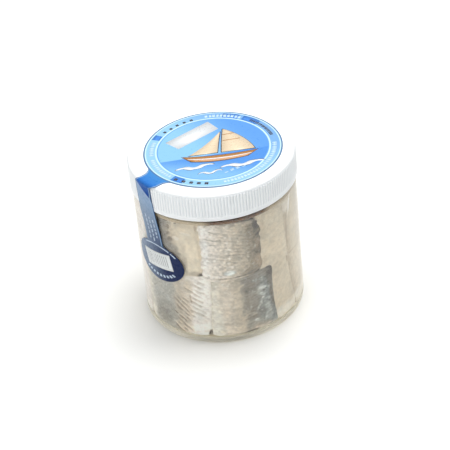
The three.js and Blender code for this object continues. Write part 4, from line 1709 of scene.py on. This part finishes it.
    def behind(self) -> list[Fillet]:
        """The pieces round the back, which follow the same two rows."""
        top, floor = self.row_top, self.row_floor
        upper = (
            ((97.2, 44.4), (139.6, 45.4), (141.6, top), (96.4, top)),
            ((139.4, 44), (185, 43), (182.8, top - 0.6), (141.4, top)),
            ((184.6, 44), (222.8, 45.8), (224.8, top), (182.6, top)),
            ((222.4, 45.6), (260.8, 44.4), (260, top - 0.8), (224.4, top)),
            ((260.4, 44), (298, 45), (298, top), (259.4, top)),
        )
        lower = (
            ((101.4, floor), (140, floor), (138, 45.6), (98, 45.4)),
            ((139.4, floor), (177, floor), (179.4, 44.4), (137.4, 46)),
            ((176.4, floor), (216, floor), (214, 46.4), (178.8, 44.8)),
            ((215.4, floor), (253, floor), (251, 45.8), (213.4, 46.2)),
            ((252.4, floor), (292.4, floor), (292.4, 45.6), (250.4, 45.2)),
        )
        return [
            skin_piece("herring_upper_5", upper[0], True, 21),
            flesh_piece("herring_upper_6", upper[1], 23),
            skin_piece("herring_upper_7", upper[2], False, 25),
            flesh_piece("herring_upper_8", upper[3], 27),
            skin_piece("herring_upper_9", upper[4], False, 29),
            flesh_piece("herring_lower_5", lower[0], 31),
            skin_piece("herring_lower_6", lower[1], False, 33),
            skin_piece("herring_lower_7", lower[2], True, 35),
            flesh_piece("herring_lower_8", lower[3], 37),
            skin_piece("herring_lower_9", lower[4], False, 39),
        ]

    def core(self, finish: Material) -> Object:
        """Makes the core, which shows only as dark seams and as the amber band under the lid.

        Args:
            finish: The material.

        Returns:
            The core.
        """
        floor = self.jar.floor + 0.4
        neck = self.jar.neck_radius - self.jar.wall - 0.9
        top = cad_box("herring")[1][2]
        profile = np.array([
            [0, floor], [40.4, floor], [42.0, floor + 1.2], [42.3, 5.4],
            [self.core_radius, 8.0], [self.core_radius, 77.8],
            [neck + 1.7, 80.2], [neck + 1.7, 81.8], [neck + 0.5, 82.8], [neck, 83.4],
            [neck, top - 4.0], [self.core_radius, top - 0.6], [0, top],
        ])
        return dress(turned("herring_core", profile, self.core_flats), finish, "herring", "herring")

    def build(self, fish: Material, core: Material) -> None:
        """Makes the core and all pieces."""
        self.core(core)
        for fillet in self.shown() + self.behind():
            fillet.build(self.jar.inside - self.face_gap, fish)


@dataclass
class Label:
    """The one-piece film label: a disc on the lid, a strip over its edge and an oval on the jar."""

    film: float = 0.17
    gap: float = 0.1
    disc_radius: float = 37.8
    middle: Pair = (1.05, -0.47)
    strip_angle: float = -53.9
    strip_left: float = -5.9
    strip_right: float = 8.5
    side_left: float = -64.8
    side_right: float = -48.4
    side_lean: float = 7.2
    root: float = 31.0
    flare_length: float = 5.0
    flare_width: float = 3.2
    end_angle: float = -50.0
    end_height: float = 50.2
    end_half_angle: float = 22.8
    end_half_height: float = 12.2
    landing_height: float = 66.0
    columns: int = 48

    def __post_init__(self) -> None:
        """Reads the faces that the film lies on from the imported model."""
        lid, jar = cad_box("lid"), cad_box("jar")
        self.lid_top, self.lid_bottom = float(lid[1][2]), float(lid[0][2])
        self.side = float(lid[1][0]) + self.gap
        self.wall = float(jar[1][0]) + self.gap
        self.face = self.lid_top + self.gap + self.film

    def disc(self, finish: Material) -> Object:
        """Makes the disc, with its flat map in millimetres from its middle.

        Args:
            finish: The material.

        Returns:
            The disc.
        """
        bottom, half = self.lid_top + self.gap, self.disc_radius * 0.5
        profile = np.array([
            [0, bottom], [half, bottom], [self.disc_radius, bottom],
            [self.disc_radius, self.face], [half, self.face], [0, self.face],
        ])
        piece = turned("label_disc", profile, 240)
        places = np.zeros(len(piece.data.vertices) * 3, np.float32)
        piece.data.vertices.foreach_get("co", places)
        places = places.reshape(-1, 3)
        set_uv(piece, places[:, :2] / MM)
        places[:, :2] += np.array(self.middle, np.float32) * MM
        piece.data.vertices.foreach_set("co", places.ravel())
        piece.data.update()
        return dress(piece, finish, "label_film", "label")

    def top_edges(self, radius: Array) -> Array:
        """Both edges on the lid's top: parallel lines that flare out in a curve at the disc.

        Args:
            radius: Distances from the lid's middle.

        Returns:
            The left and right angle at each.
        """
        away = np.clip(1 - (radius - self.disc_radius + 1) / self.flare_length, 0, 1)
        flare = self.flare_width * away**2.5
        left = np.degrees(np.arcsin((self.strip_left - flare) / radius))
        right = np.degrees(np.arcsin((self.strip_right + flare) / radius))
        return self.strip_angle + np.stack([left, right], axis=-1)

    def side_edges(self, z: Array) -> Array:
        """Both edges down the side: the leaning strip, then the oval, whichever is wider.

        Args:
            z: Heights.

        Returns:
            The left and right angle at each.
        """
        down = (self.lid_top - z) / (self.lid_top - self.end_height)
        across = np.sqrt(np.clip(1 - ((z - self.end_height) / self.end_half_height) ** 2, 0, 1))
        oval = self.end_angle + self.end_half_angle * across[:, None] * np.array([-1.0, 1.0])
        strip = np.array([self.side_left, self.side_right]) + self.side_lean * down[:, None]
        wide = np.stack([np.minimum(strip[:, 0], oval[:, 0]), np.maximum(strip[:, 1], oval[:, 1])], axis=-1)
        return np.where((z > self.end_height)[:, None], wide, oval)

    def hang(self, z: Array) -> Array:
        """The film's inner radius below the lid: from the lid's side to the jar's wall by a smoothstep."""
        return self.wall + (self.side - self.wall) * smoothstep(self.landing_height, self.lid_bottom, z)

    def stations(self) -> dict[str, Array]:
        """Rows along the film, from under the disc to the foot of the oval.

        The rows run out over the lid's top, round its edge, down its side, across to the jar's wall
        by a smoothstep and down the wall, where the oval's rows are the sine of even turns.

        Returns:
            The radius, height and slope of the film's inner face, and its edges, row by row.
        """
        top, bend = self.lid_top + self.gap, 1.7 + self.gap
        out = np.linspace(self.root, self.side - bend, 34)
        turn = np.linspace(90, 0, 10)[1:]
        down = np.concatenate([
            np.linspace(top - bend, self.lid_bottom, 30)[1:],
            np.linspace(self.lid_bottom, self.landing_height, 26)[1:],
            np.linspace(self.landing_height, 61.6, 10)[1:],
            self.end_height + self.end_half_height * np.sin(np.radians(np.linspace(66, -88.5, 60))),
        ])
        curve = np.radians(turn)
        radius = np.concatenate([out, self.side - bend + bend * np.cos(curve), self.hang(down)])
        z = np.concatenate([np.full(len(out), top), top - bend + bend * np.sin(curve), down])
        slope = np.concatenate([np.full(len(out), 90.0), turn, np.zeros(len(down))])
        first, last = self.top_edges(out[-1:]), self.side_edges(np.array([top - bend]))
        share = ((90 - turn) / 90) ** 1.5
        bent = first + (last - first) * share[:, None]
        edges = np.concatenate([self.top_edges(out), bent, self.side_edges(down)])
        return {"radius": radius, "z": z, "slope": slope, "edges": edges}

    def strip(self, finish: Material) -> Object:
        """Makes the strip and the oval as one sheet.

        A fold runs slantwise over the lid's side, from the lid's edge on the left to well below it on
        the right, and the film stands a little off the ribs there.

        Args:
            finish: The material.

        Returns:
            The sheet.
        """
        rows = self.stations()
        share = np.linspace(0, 1, self.columns)[None, :]
        edges = rows["edges"]
        angle = edges[:, :1] + (edges[:, 1:] - edges[:, :1]) * share
        radius, z = rows["radius"][:, None] + 0 * share, rows["z"][:, None] + 0 * share
        fold = self.lid_top - 1.6 - 7.0 * share**1.3
        crease = fold - z
        proud = 0.45 * share * np.exp(-((crease / 2.2) ** 2)) * (rows["slope"][:, None] < 45)
        slope = np.radians(rows["slope"])[:, None]
        points = [
            polar(angle, radius + proud + depth * np.cos(slope), z + depth * np.sin(slope))
            for depth in (self.film, 0.0)
        ]
        sink = np.where(rows["slope"] > 89, 0.02, 0.0)[:, None, None] * np.array([0, 0, 1.0])
        sheet = Sheets()
        sheet.add((points[0] - sink)[::-1], (points[1] - sink)[::-1])
        piece = sheet.build("label_strip")
        step = np.hypot(np.diff(rows["radius"]), np.diff(rows["z"]))
        along = np.concatenate([[0], np.cumsum(step)]) - (self.disc_radius - self.root)
        reach = rows["radius"][:, None] * np.radians(edges[:, 1:] - edges[:, :1])
        inset = np.minimum(share, 1 - share) * reach
        flat = np.stack([inset, along[:, None] + 0 * share], axis=-1)[::-1].reshape(-1, 2)
        set_uv(piece, np.concatenate([flat, flat]))
        set_numbers(piece, "crease", np.tile(crease[::-1].ravel(), 2))
        return dress(piece, finish, "label_film", "label")


class Ink(Enum):
    """The label's inks, each by its colour: on the disc, then on the strip and the oval."""

    DISC_BARE = srgb(218, 222, 225)
    DISC_CREAM = srgb(226, 206, 176)
    DISC_RUST = srgb(178, 122, 66)
    DISC_DARK = srgb(66, 66, 78)
    DISC_PALE = srgb(178, 208, 232)
    DISC_DEEP = srgb(66, 126, 204)
    SIDE_PALE = srgb(188, 206, 226)
    SIDE_FIELD = srgb(222, 226, 226)
    SIDE_GREY = srgb(158, 162, 164)


@dataclass
class Artwork:
    """The label's print in thin layers of ink: a boat and waves on the disc, a field and bars on the oval."""

    label: Label
    mottle: NodeTree
    thickness: float = 0.008
    layer: float = 0.012

    def __post_init__(self) -> None:
        """Starts a gathering of sheets for each ink."""
        self.sheets = {ink: Sheets() for ink in Ink}

    def on_disc(self, ink: Ink, first: Array, second: Array, level: int, grow: float = 0.0) -> None:
        """Prints the area between two lines on the disc.

        Args:
            ink: The ink.
            first: One line, as x and y in millimetres from the disc's middle.
            second: The other line, with as many points, to the left of the first.
            level: The ink's layer.
            grow: How far the area is widened from its middle, for an outline.
        """
        area = np.stack([first, second])
        middle = (area.max((0, 1)) + area.min((0, 1))) / 2
        half = (area.max((0, 1)) - area.min((0, 1))) / 2
        area = middle + (area - middle) * (1 + grow / half)
        area = area + np.array(self.label.middle)
        base = self.label.face + 0.004 + level * self.layer
        layers = [
            np.concatenate([area, np.full(area.shape[:2] + (1,), z)], axis=-1)
            for z in (base + self.thickness, base)
        ]
        self.sheets[ink].add(*layers)

    def arc_dash(self, ink: Ink, low: float, high: float, start: float, stop: float, level: int = 0) -> None:
        """Prints a curved dash between two radii and two directions.

        Args:
            ink: The ink.
            low: Inner radius.
            high: Outer radius.
            start: First direction, in degrees from the right towards the back.
            stop: Last direction.
            level: The ink's layer.
        """
        turn = np.radians(np.linspace(start, stop, 7))
        ray = np.stack([np.cos(turn), np.sin(turn)], axis=-1)
        self.on_disc(ink, ray * high, ray * low, level)

    def dashes(
        self, low: float, high: float, start: float, stop: float, count: int, seed: int,
        ink: Ink = Ink.DISC_PALE,
    ) -> None:
        """Prints a row of dashes of uneven length along an arc.

        Args:
            low: Inner radius.
            high: Outer radius.
            start: First direction.
            stop: Last direction.
            count: Number of dashes.
            seed: Picks their lengths.
            ink: The ink.
        """
        step = (stop - start) / count
        for index in range(count):
            length = 0.5 + 0.35 * float(lattice_noise(np.array(index * 1.7), np.array(seed + 0.3), seed))
            place = start + index * step
            self.arc_dash(ink, low, high, place, place + step * length, 1)

    @staticmethod
    def curve(points: Corners, steps: int = 14) -> Array:
        """A smooth curve through control points: a Bezier curve of any order, by repeated blending.

        Args:
            points: The control points.
            steps: Number of points on the curve.

        Returns:
            The curve's points.
        """
        share = np.linspace(0, 1, steps)[:, None, None]
        control = np.broadcast_to(np.array(points, float), (steps, len(points), 2))
        while control.shape[1] > 1:
            control = control[:, :-1] * (1 - share) + control[:, 1:] * share
        return control[:, 0]

    def boat(self) -> None:
        """Prints a sailing boat: two cream sails and a rust hull, each over a slightly larger dark shape."""
        shapes = (
            (Ink.DISC_CREAM, ((22.5, -3.5), (19, 9), (7, 18.5)), ((4.5, -4.5), (5.0, 6), (6.2, 18.3))),
            (Ink.DISC_CREAM, ((2.2, -4.6), (3.2, 6), (4.6, 16)), ((-13.5, -5.5), (-4, 2), (4.2, 15.8))),
            (Ink.DISC_RUST, ((18, -10.5), (2, -14.5), (-12, -11.5)), ((24, -5.0), (3, -8.8), (-17, -6.4))),
        )
        for ink, first, second in shapes:
            self.on_disc(Ink.DISC_DARK, self.curve(first), self.curve(second), 0, 0.55)
            self.on_disc(ink, self.curve(first), self.curve(second), 1)
        low = self.curve(((20, -8.2), (3, -12.2), (-13.5, -9.2)))
        high = self.curve(((21, -7.4), (3, -11.3), (-14.5, -8.4)))
        self.on_disc(Ink.DISC_BARE, low, high, 2)
        for y in (6.5, 12.5):
            low = np.array([[5.6, y], [18.5 - y * 0.5, y + 1.0]])
            high = np.array([[5.6, y + 0.6], [18.4 - y * 0.5, y + 1.6]])
            self.on_disc(Ink.DISC_RUST, low, high, 2)

    def wave(self, x: float, y: float, length: float, height: float) -> None:
        """Prints a wave crest, a white sheet that swells and tapers over a dark edge.

        Args:
            x: Place of its left end across.
            y: Place of its left end upwards.
            length: Its length.
            height: How far it swells.
        """
        share = np.linspace(0, 1, 25)
        along = x + length * share
        middle = y + 0.14 * length * share + 0.9 * np.sin(share * 9.5)
        swell = 0.12 + height * np.sin(np.pi * share) ** 0.6 * (0.75 + 0.25 * np.cos(share * 19))
        low = np.stack([along, middle - swell / 2], axis=-1)
        high = np.stack([along, middle + swell / 2], axis=-1)
        self.on_disc(Ink.DISC_DARK, low, high, 0, 0.35)
        self.on_disc(Ink.DISC_BARE, low, high, 1)

    def mark(self, x: float, y: float, half: float) -> None:
        """Prints a small dark square turned towards the disc's middle.

        Args:
            x: Its middle across.
            y: Its middle upwards.
            half: Half its side.
        """
        place = np.array([x, y])
        out = place / math.hypot(x, y)
        side = np.array([out[1], -out[0]])
        low = np.stack([place - (out + side) * half, place + (out - side) * half])
        high = np.stack([place + (side - out) * half, place + (side + out) * half])
        self.on_disc(Ink.DISC_DARK, low, high, 1)

    def disc(self) -> None:
        """Prints the disc: placard, boat, waves, and the ring's dots, squares and dashes."""
        plate = np.array([[-18.5, 2.5], [4.0, 19.5], [-25.5, 10.0], [-1.5, 28.0]])
        self.on_disc(Ink.DISC_BARE, plate[[0, 1]], plate[[2, 3]], 0)
        self.boat()
        self.wave(-21.0, -18.5, 21.0, 3.2)
        self.wave(3.0, -19.5, 24.0, 3.4)
        self.wave(-9.0, -24.0, 13.0, 1.8)
        for row, (start, stop) in enumerate(((8.0, 23.0), (5.0, 21.0))):
            for index in range(5):
                x = start + (stop - start) * index / 5
                y = -23.0 - row * 2.4 + 0.45 * (x - start)
                low = np.array([[x, y], [x + 2.0, y + 0.9]])
                self.on_disc(Ink.DISC_PALE, low, low + [0.0, 0.8], 0)
        for x, y in ((-25.5, 21), (-22, 24), (-18.5, 27), (-14.5, 29.3), (-10.5, 31)):
            self.mark(x, y, 0.85)
        for x, y in ((-21, -27), (-17, -29.5), (-13, -31.3), (-9, -32.6), (-5, -33.4)):
            self.mark(x, y, 1.0)
        for start, stop in ((148, 156), (62, 78), (40, 58), (228, 240)):
            self.arc_dash(Ink.DISC_DEEP, 31.5, 36.0, start, stop)
        self.dashes(32.4, 34.8, 60, 96, 10, 1)
        self.dashes(32.2, 34.6, 160, 184, 8, 2)
        self.dashes(32.2, 34.6, 190, 226, 11, 3)
        self.dashes(32.2, 34.6, 277, 362, 26, 4)
        self.dashes(32.6, 34.4, 14, 50, 16, 5, Ink.DISC_DARK)

    def on_side(self, ink: Ink, corners: Corners, level: int) -> None:
        """Prints a four-sided patch on the film that lies on the jar.

        Args:
            ink: The ink.
            corners: Angles and heights from lower left round to upper left.
            level: The ink's layer.
        """
        foot_left, foot_right, head_right, head_left = np.array(corners, float)
        columns = max(2, int(abs(foot_right[0] - foot_left[0]) / 1.5) + 2)
        rows = max(2, int(abs(head_left[1] - foot_left[1]) / 2) + 2)
        across = np.linspace(0, 1, columns)[None, :, None]
        up = np.linspace(0, 1, rows)[:, None, None]
        foot = foot_left * (1 - across) + foot_right * across
        head = head_left * (1 - across) + head_right * across
        place = foot * (1 - up) + head * up
        base = self.label.hang(place[..., 1]) + self.label.film + 0.01 + level * self.layer
        layers = [polar(place[..., 0], radius, place[..., 1]) for radius in (base + self.thickness, base)]
        self.sheets[ink].add(*layers)

    def strip_lines(self) -> None:
        """Prints three lines of dashes of uneven length down the strip."""
        label, half = self.label, 0.55
        drop = label.lid_top - label.end_height
        for line, share in enumerate((0.32, 0.54, 0.76)):
            z = 79.5 - line * 0.7
            while z > 64.5 + line * 0.8:
                length = 1.1 + 1.6 * float(lattice_noise(np.array(z * 0.9), np.array(line * 3.1), 7))
                left = label.side_left + label.side_lean * ((label.lid_top - z) / drop)
                middle = left + (label.side_right - label.side_left) * share
                slip = label.side_lean * length / drop
                foot = ((middle - half + slip, z - length), (middle + half + slip, z - length))
                self.on_side(Ink.SIDE_PALE, (*foot, (middle + half, z), (middle - half, z)), 0)
                z -= length + 0.7

    def oval_dash(self, start: float, stop: float, first: Pair, second: Pair) -> None:
        """Prints a dash between two directions and two ovals round the film's end.

        Args:
            start: First direction, in degrees.
            stop: Last direction.
            first: Half sizes of one oval, in degrees and in height.
            second: Half sizes of the other.
        """
        spots = [
            (
                self.label.end_angle + wide * math.cos(math.radians(turn)),
                self.label.end_height + tall * math.sin(math.radians(turn)),
            )
            for wide, tall in (first, second)
            for turn in (start, stop)
        ]
        self.on_side(Ink.SIDE_PALE, (spots[0], spots[1], spots[3], spots[2]), 0)

    def oval(self) -> None:
        """Prints the oval: an arc at its rim, a field with bars, and dashes at its foot."""
        wide, tall = self.label.end_half_angle, self.label.end_half_height
        for start in np.arange(124, 36, -4.0):
            if not 53 < start < 60:
                self.oval_dash(start, start - 4.0, (wide - 2.6, tall - 1.6), (wide - 1.4, tall - 0.8))
        panel = ((-61, 45.0), (-35.8, 47.2), (-38.2, 57.4), (-65, 54.6))
        self.on_side(Ink.SIDE_FIELD, panel, 0)
        corner = np.array(panel, float)
        for index in range(11):
            share = 0.09 + 0.075 * index
            width = 0.012 + 0.02 * float(lattice_noise(np.array(index * 1.3), np.array(0.4), 5))
            foot = corner[0] + (corner[1] - corner[0]) * np.array([[share], [share + width]])
            head = corner[3] + (corner[2] - corner[3]) * np.array([[share], [share + width]])
            low, high = foot + (head - foot) * 0.2, foot + (head - foot) * 0.84
            self.on_side(Ink.SIDE_GREY, (low[0], low[1], high[1], high[0]), 1)
        for index in range(9):
            turn = 228 + index * 11.0
            self.oval_dash(turn, turn + 6.5, (19.6, 9.9), (16.6, 8.3))

    def build(self) -> None:
        """Makes all inks, one mesh for each."""
        self.disc()
        self.strip_lines()
        self.oval()
        for ink, sheets in self.sheets.items():
            name = ink.name.lower()
            finish = InkFinish(f"ink_{name}", ink.value, self.mottle).build()
            dress(sheets.build(f"print_{name}"), finish, "label_film", "label")


@dataclass
class Studio:
    """The pale floor, the soft light and the camera at the shown angle.

    The surrounding light changes from its left to its right strength between two places across.
    """

    floor_colour: Colour = (0.855, 0.862, 0.848, 1.0)
    floor_half: float = 4000.0
    sky_change: Pair = (0.1, 0.9)
    sky_strength: Pair = (0.36, 0.17)
    aim: tuple[float, float, float] = (0.0, 0.0, 0.05)
    lens: float = 129.57
    sensor: float = 36.0
    distance: float = 903.5
    elevation: float = 35.04
    roll: float = -5.607
    target: tuple[float, float, float] = (3.52, 0.0, 49.02)

    def floor(self) -> None:
        """Makes the floor, a wide flat sheet in the plane that the jar stands on."""
        half = self.floor_half
        grid = np.array([[-half, -half, 0], [half, -half, 0], [half, half, 0], [-half, half, 0]])
        piece = make_mesh("floor", grid, np.array([[0, 1, 2, 3]]))
        material, tree, shader = new_material("floor_paper")
        cloud = tree.noise(tree.place(), 3.0)
        dim = tuple(value * 0.985 for value in self.floor_colour[:3]) + (1.0,)
        colour = tree.mix(tree.uneven(cloud, 0.0, 1.0), dim, self.floor_colour)
        tree.give(shader, Base_Color=colour, Roughness=0.8)
        piece.data.materials.append(material)
        LOG.info("%s: part of the stage", piece.name)

    def lamp(self, name: str, place: tuple[float, float, float], size: float, power: float) -> Object:
        """Adds a square area light that faces the jar.

        Args:
            name: The light's name.
            place: Its middle, in metres.
            size: Its side, in metres.
            power: Its power, in watts.

        Returns:
            The light.
        """
        light = bpy.data.lights.new(name, "AREA")
        light.shape = "SQUARE"
        light.size = size
        light.energy = power
        lamp = bpy.data.objects.new(name, light)
        lamp.location = place
        aim = Vector(self.aim) - Vector(place)
        lamp.rotation_euler = aim.to_track_quat("-Z", "Y").to_euler()
        bpy.context.scene.collection.objects.link(lamp)
        return lamp

    def light(self) -> None:
        """Sets a white surrounding light and two large soft lamps, of which one isn't seen in gloss."""
        world = bpy.data.worlds.new("studio")
        world.use_nodes = True
        tree = Shader(world.node_tree)
        across = tree.split(tree.node("ShaderNodeTexCoord").outputs["Generated"])[0]
        strength = tree.step(across, *self.sky_change, *self.sky_strength)
        tree.give(world.node_tree.nodes["Background"], Color=(1.0, 1.0, 1.0, 1.0), Strength=strength)
        bpy.context.scene.world = world
        self.lamp("overhead_softbox", (0.15, 0.1, 1.2), 0.9, 19.0)
        self.lamp("left_softbox", (-0.9, -0.8, 0.5), 0.7, 3.0).visible_glossy = False

    def camera(self) -> None:
        """Places the camera: it looks at the target from its elevation, then turns by its roll."""
        tilt, roll = math.radians(self.elevation), math.radians(self.roll)
        target = Vector(self.target) * MM
        ahead = Vector((0, math.cos(tilt), -math.sin(tilt)))
        level = Vector((1, 0, 0))
        over = level.cross(ahead)
        right = math.cos(roll) * level + math.sin(roll) * over
        up = math.cos(roll) * over - math.sin(roll) * level
        data = bpy.data.cameras.new("camera")
        data.lens = self.lens
        data.sensor_width = self.sensor
        data.clip_start, data.clip_end = 0.05, 20.0
        camera = bpy.data.objects.new("camera", data)
        turn = Matrix((right, up, -ahead)).transposed().to_4x4()
        camera.matrix_world = Matrix.Translation(target - ahead * self.distance * MM) @ turn
        bpy.context.scene.collection.objects.link(camera)
        bpy.context.scene.camera = camera


def main() -> None:
    """Builds the studio and the jar, piece by piece."""
    logging.basicConfig(level=logging.INFO, format="%(name)s %(message)s")
    studio = Studio()
    studio.camera()
    studio.floor()
    studio.light()
    bpy.context.scene.view_settings.view_transform = "Standard"
    mottle = mottle_group()
    plastic = ClearFinish(
        "clear_plastic", (0.97, 0.985, 0.975, 1), (0.98, 0.985, 0.98, 1), 1.5, 0.03,
        ripple=0.0001, haze=srgb(252, 247, 232),
    ).build()
    pale_oil = (1, 0.99, 0.96, 1)
    oil = ClearFinish("amber_oil", pale_oil, pale_oil, 1.47, 0.0, srgb(238, 204, 130), 45.0).build()
    jar = Jar()
    jar.build(plastic)
    jar.fill(oil)
    # Its second colour is the painted shade in the lid's grooves.
    white = PlasticFinish("white_lid_plastic", srgb(245, 248, 250), srgb(228, 233, 237), 0.34, mottle)
    Lid().build(white.build())
    label = Label()
    label.disc(DiscPrint(mottle).build())
    label.strip(StripPrint(mottle).build())
    Artwork(label, mottle).build()
    Herring(jar).build(FishFinish(mottle).build(), CoreFinish(mottle).build())


if __name__ == "__main__":
    main()
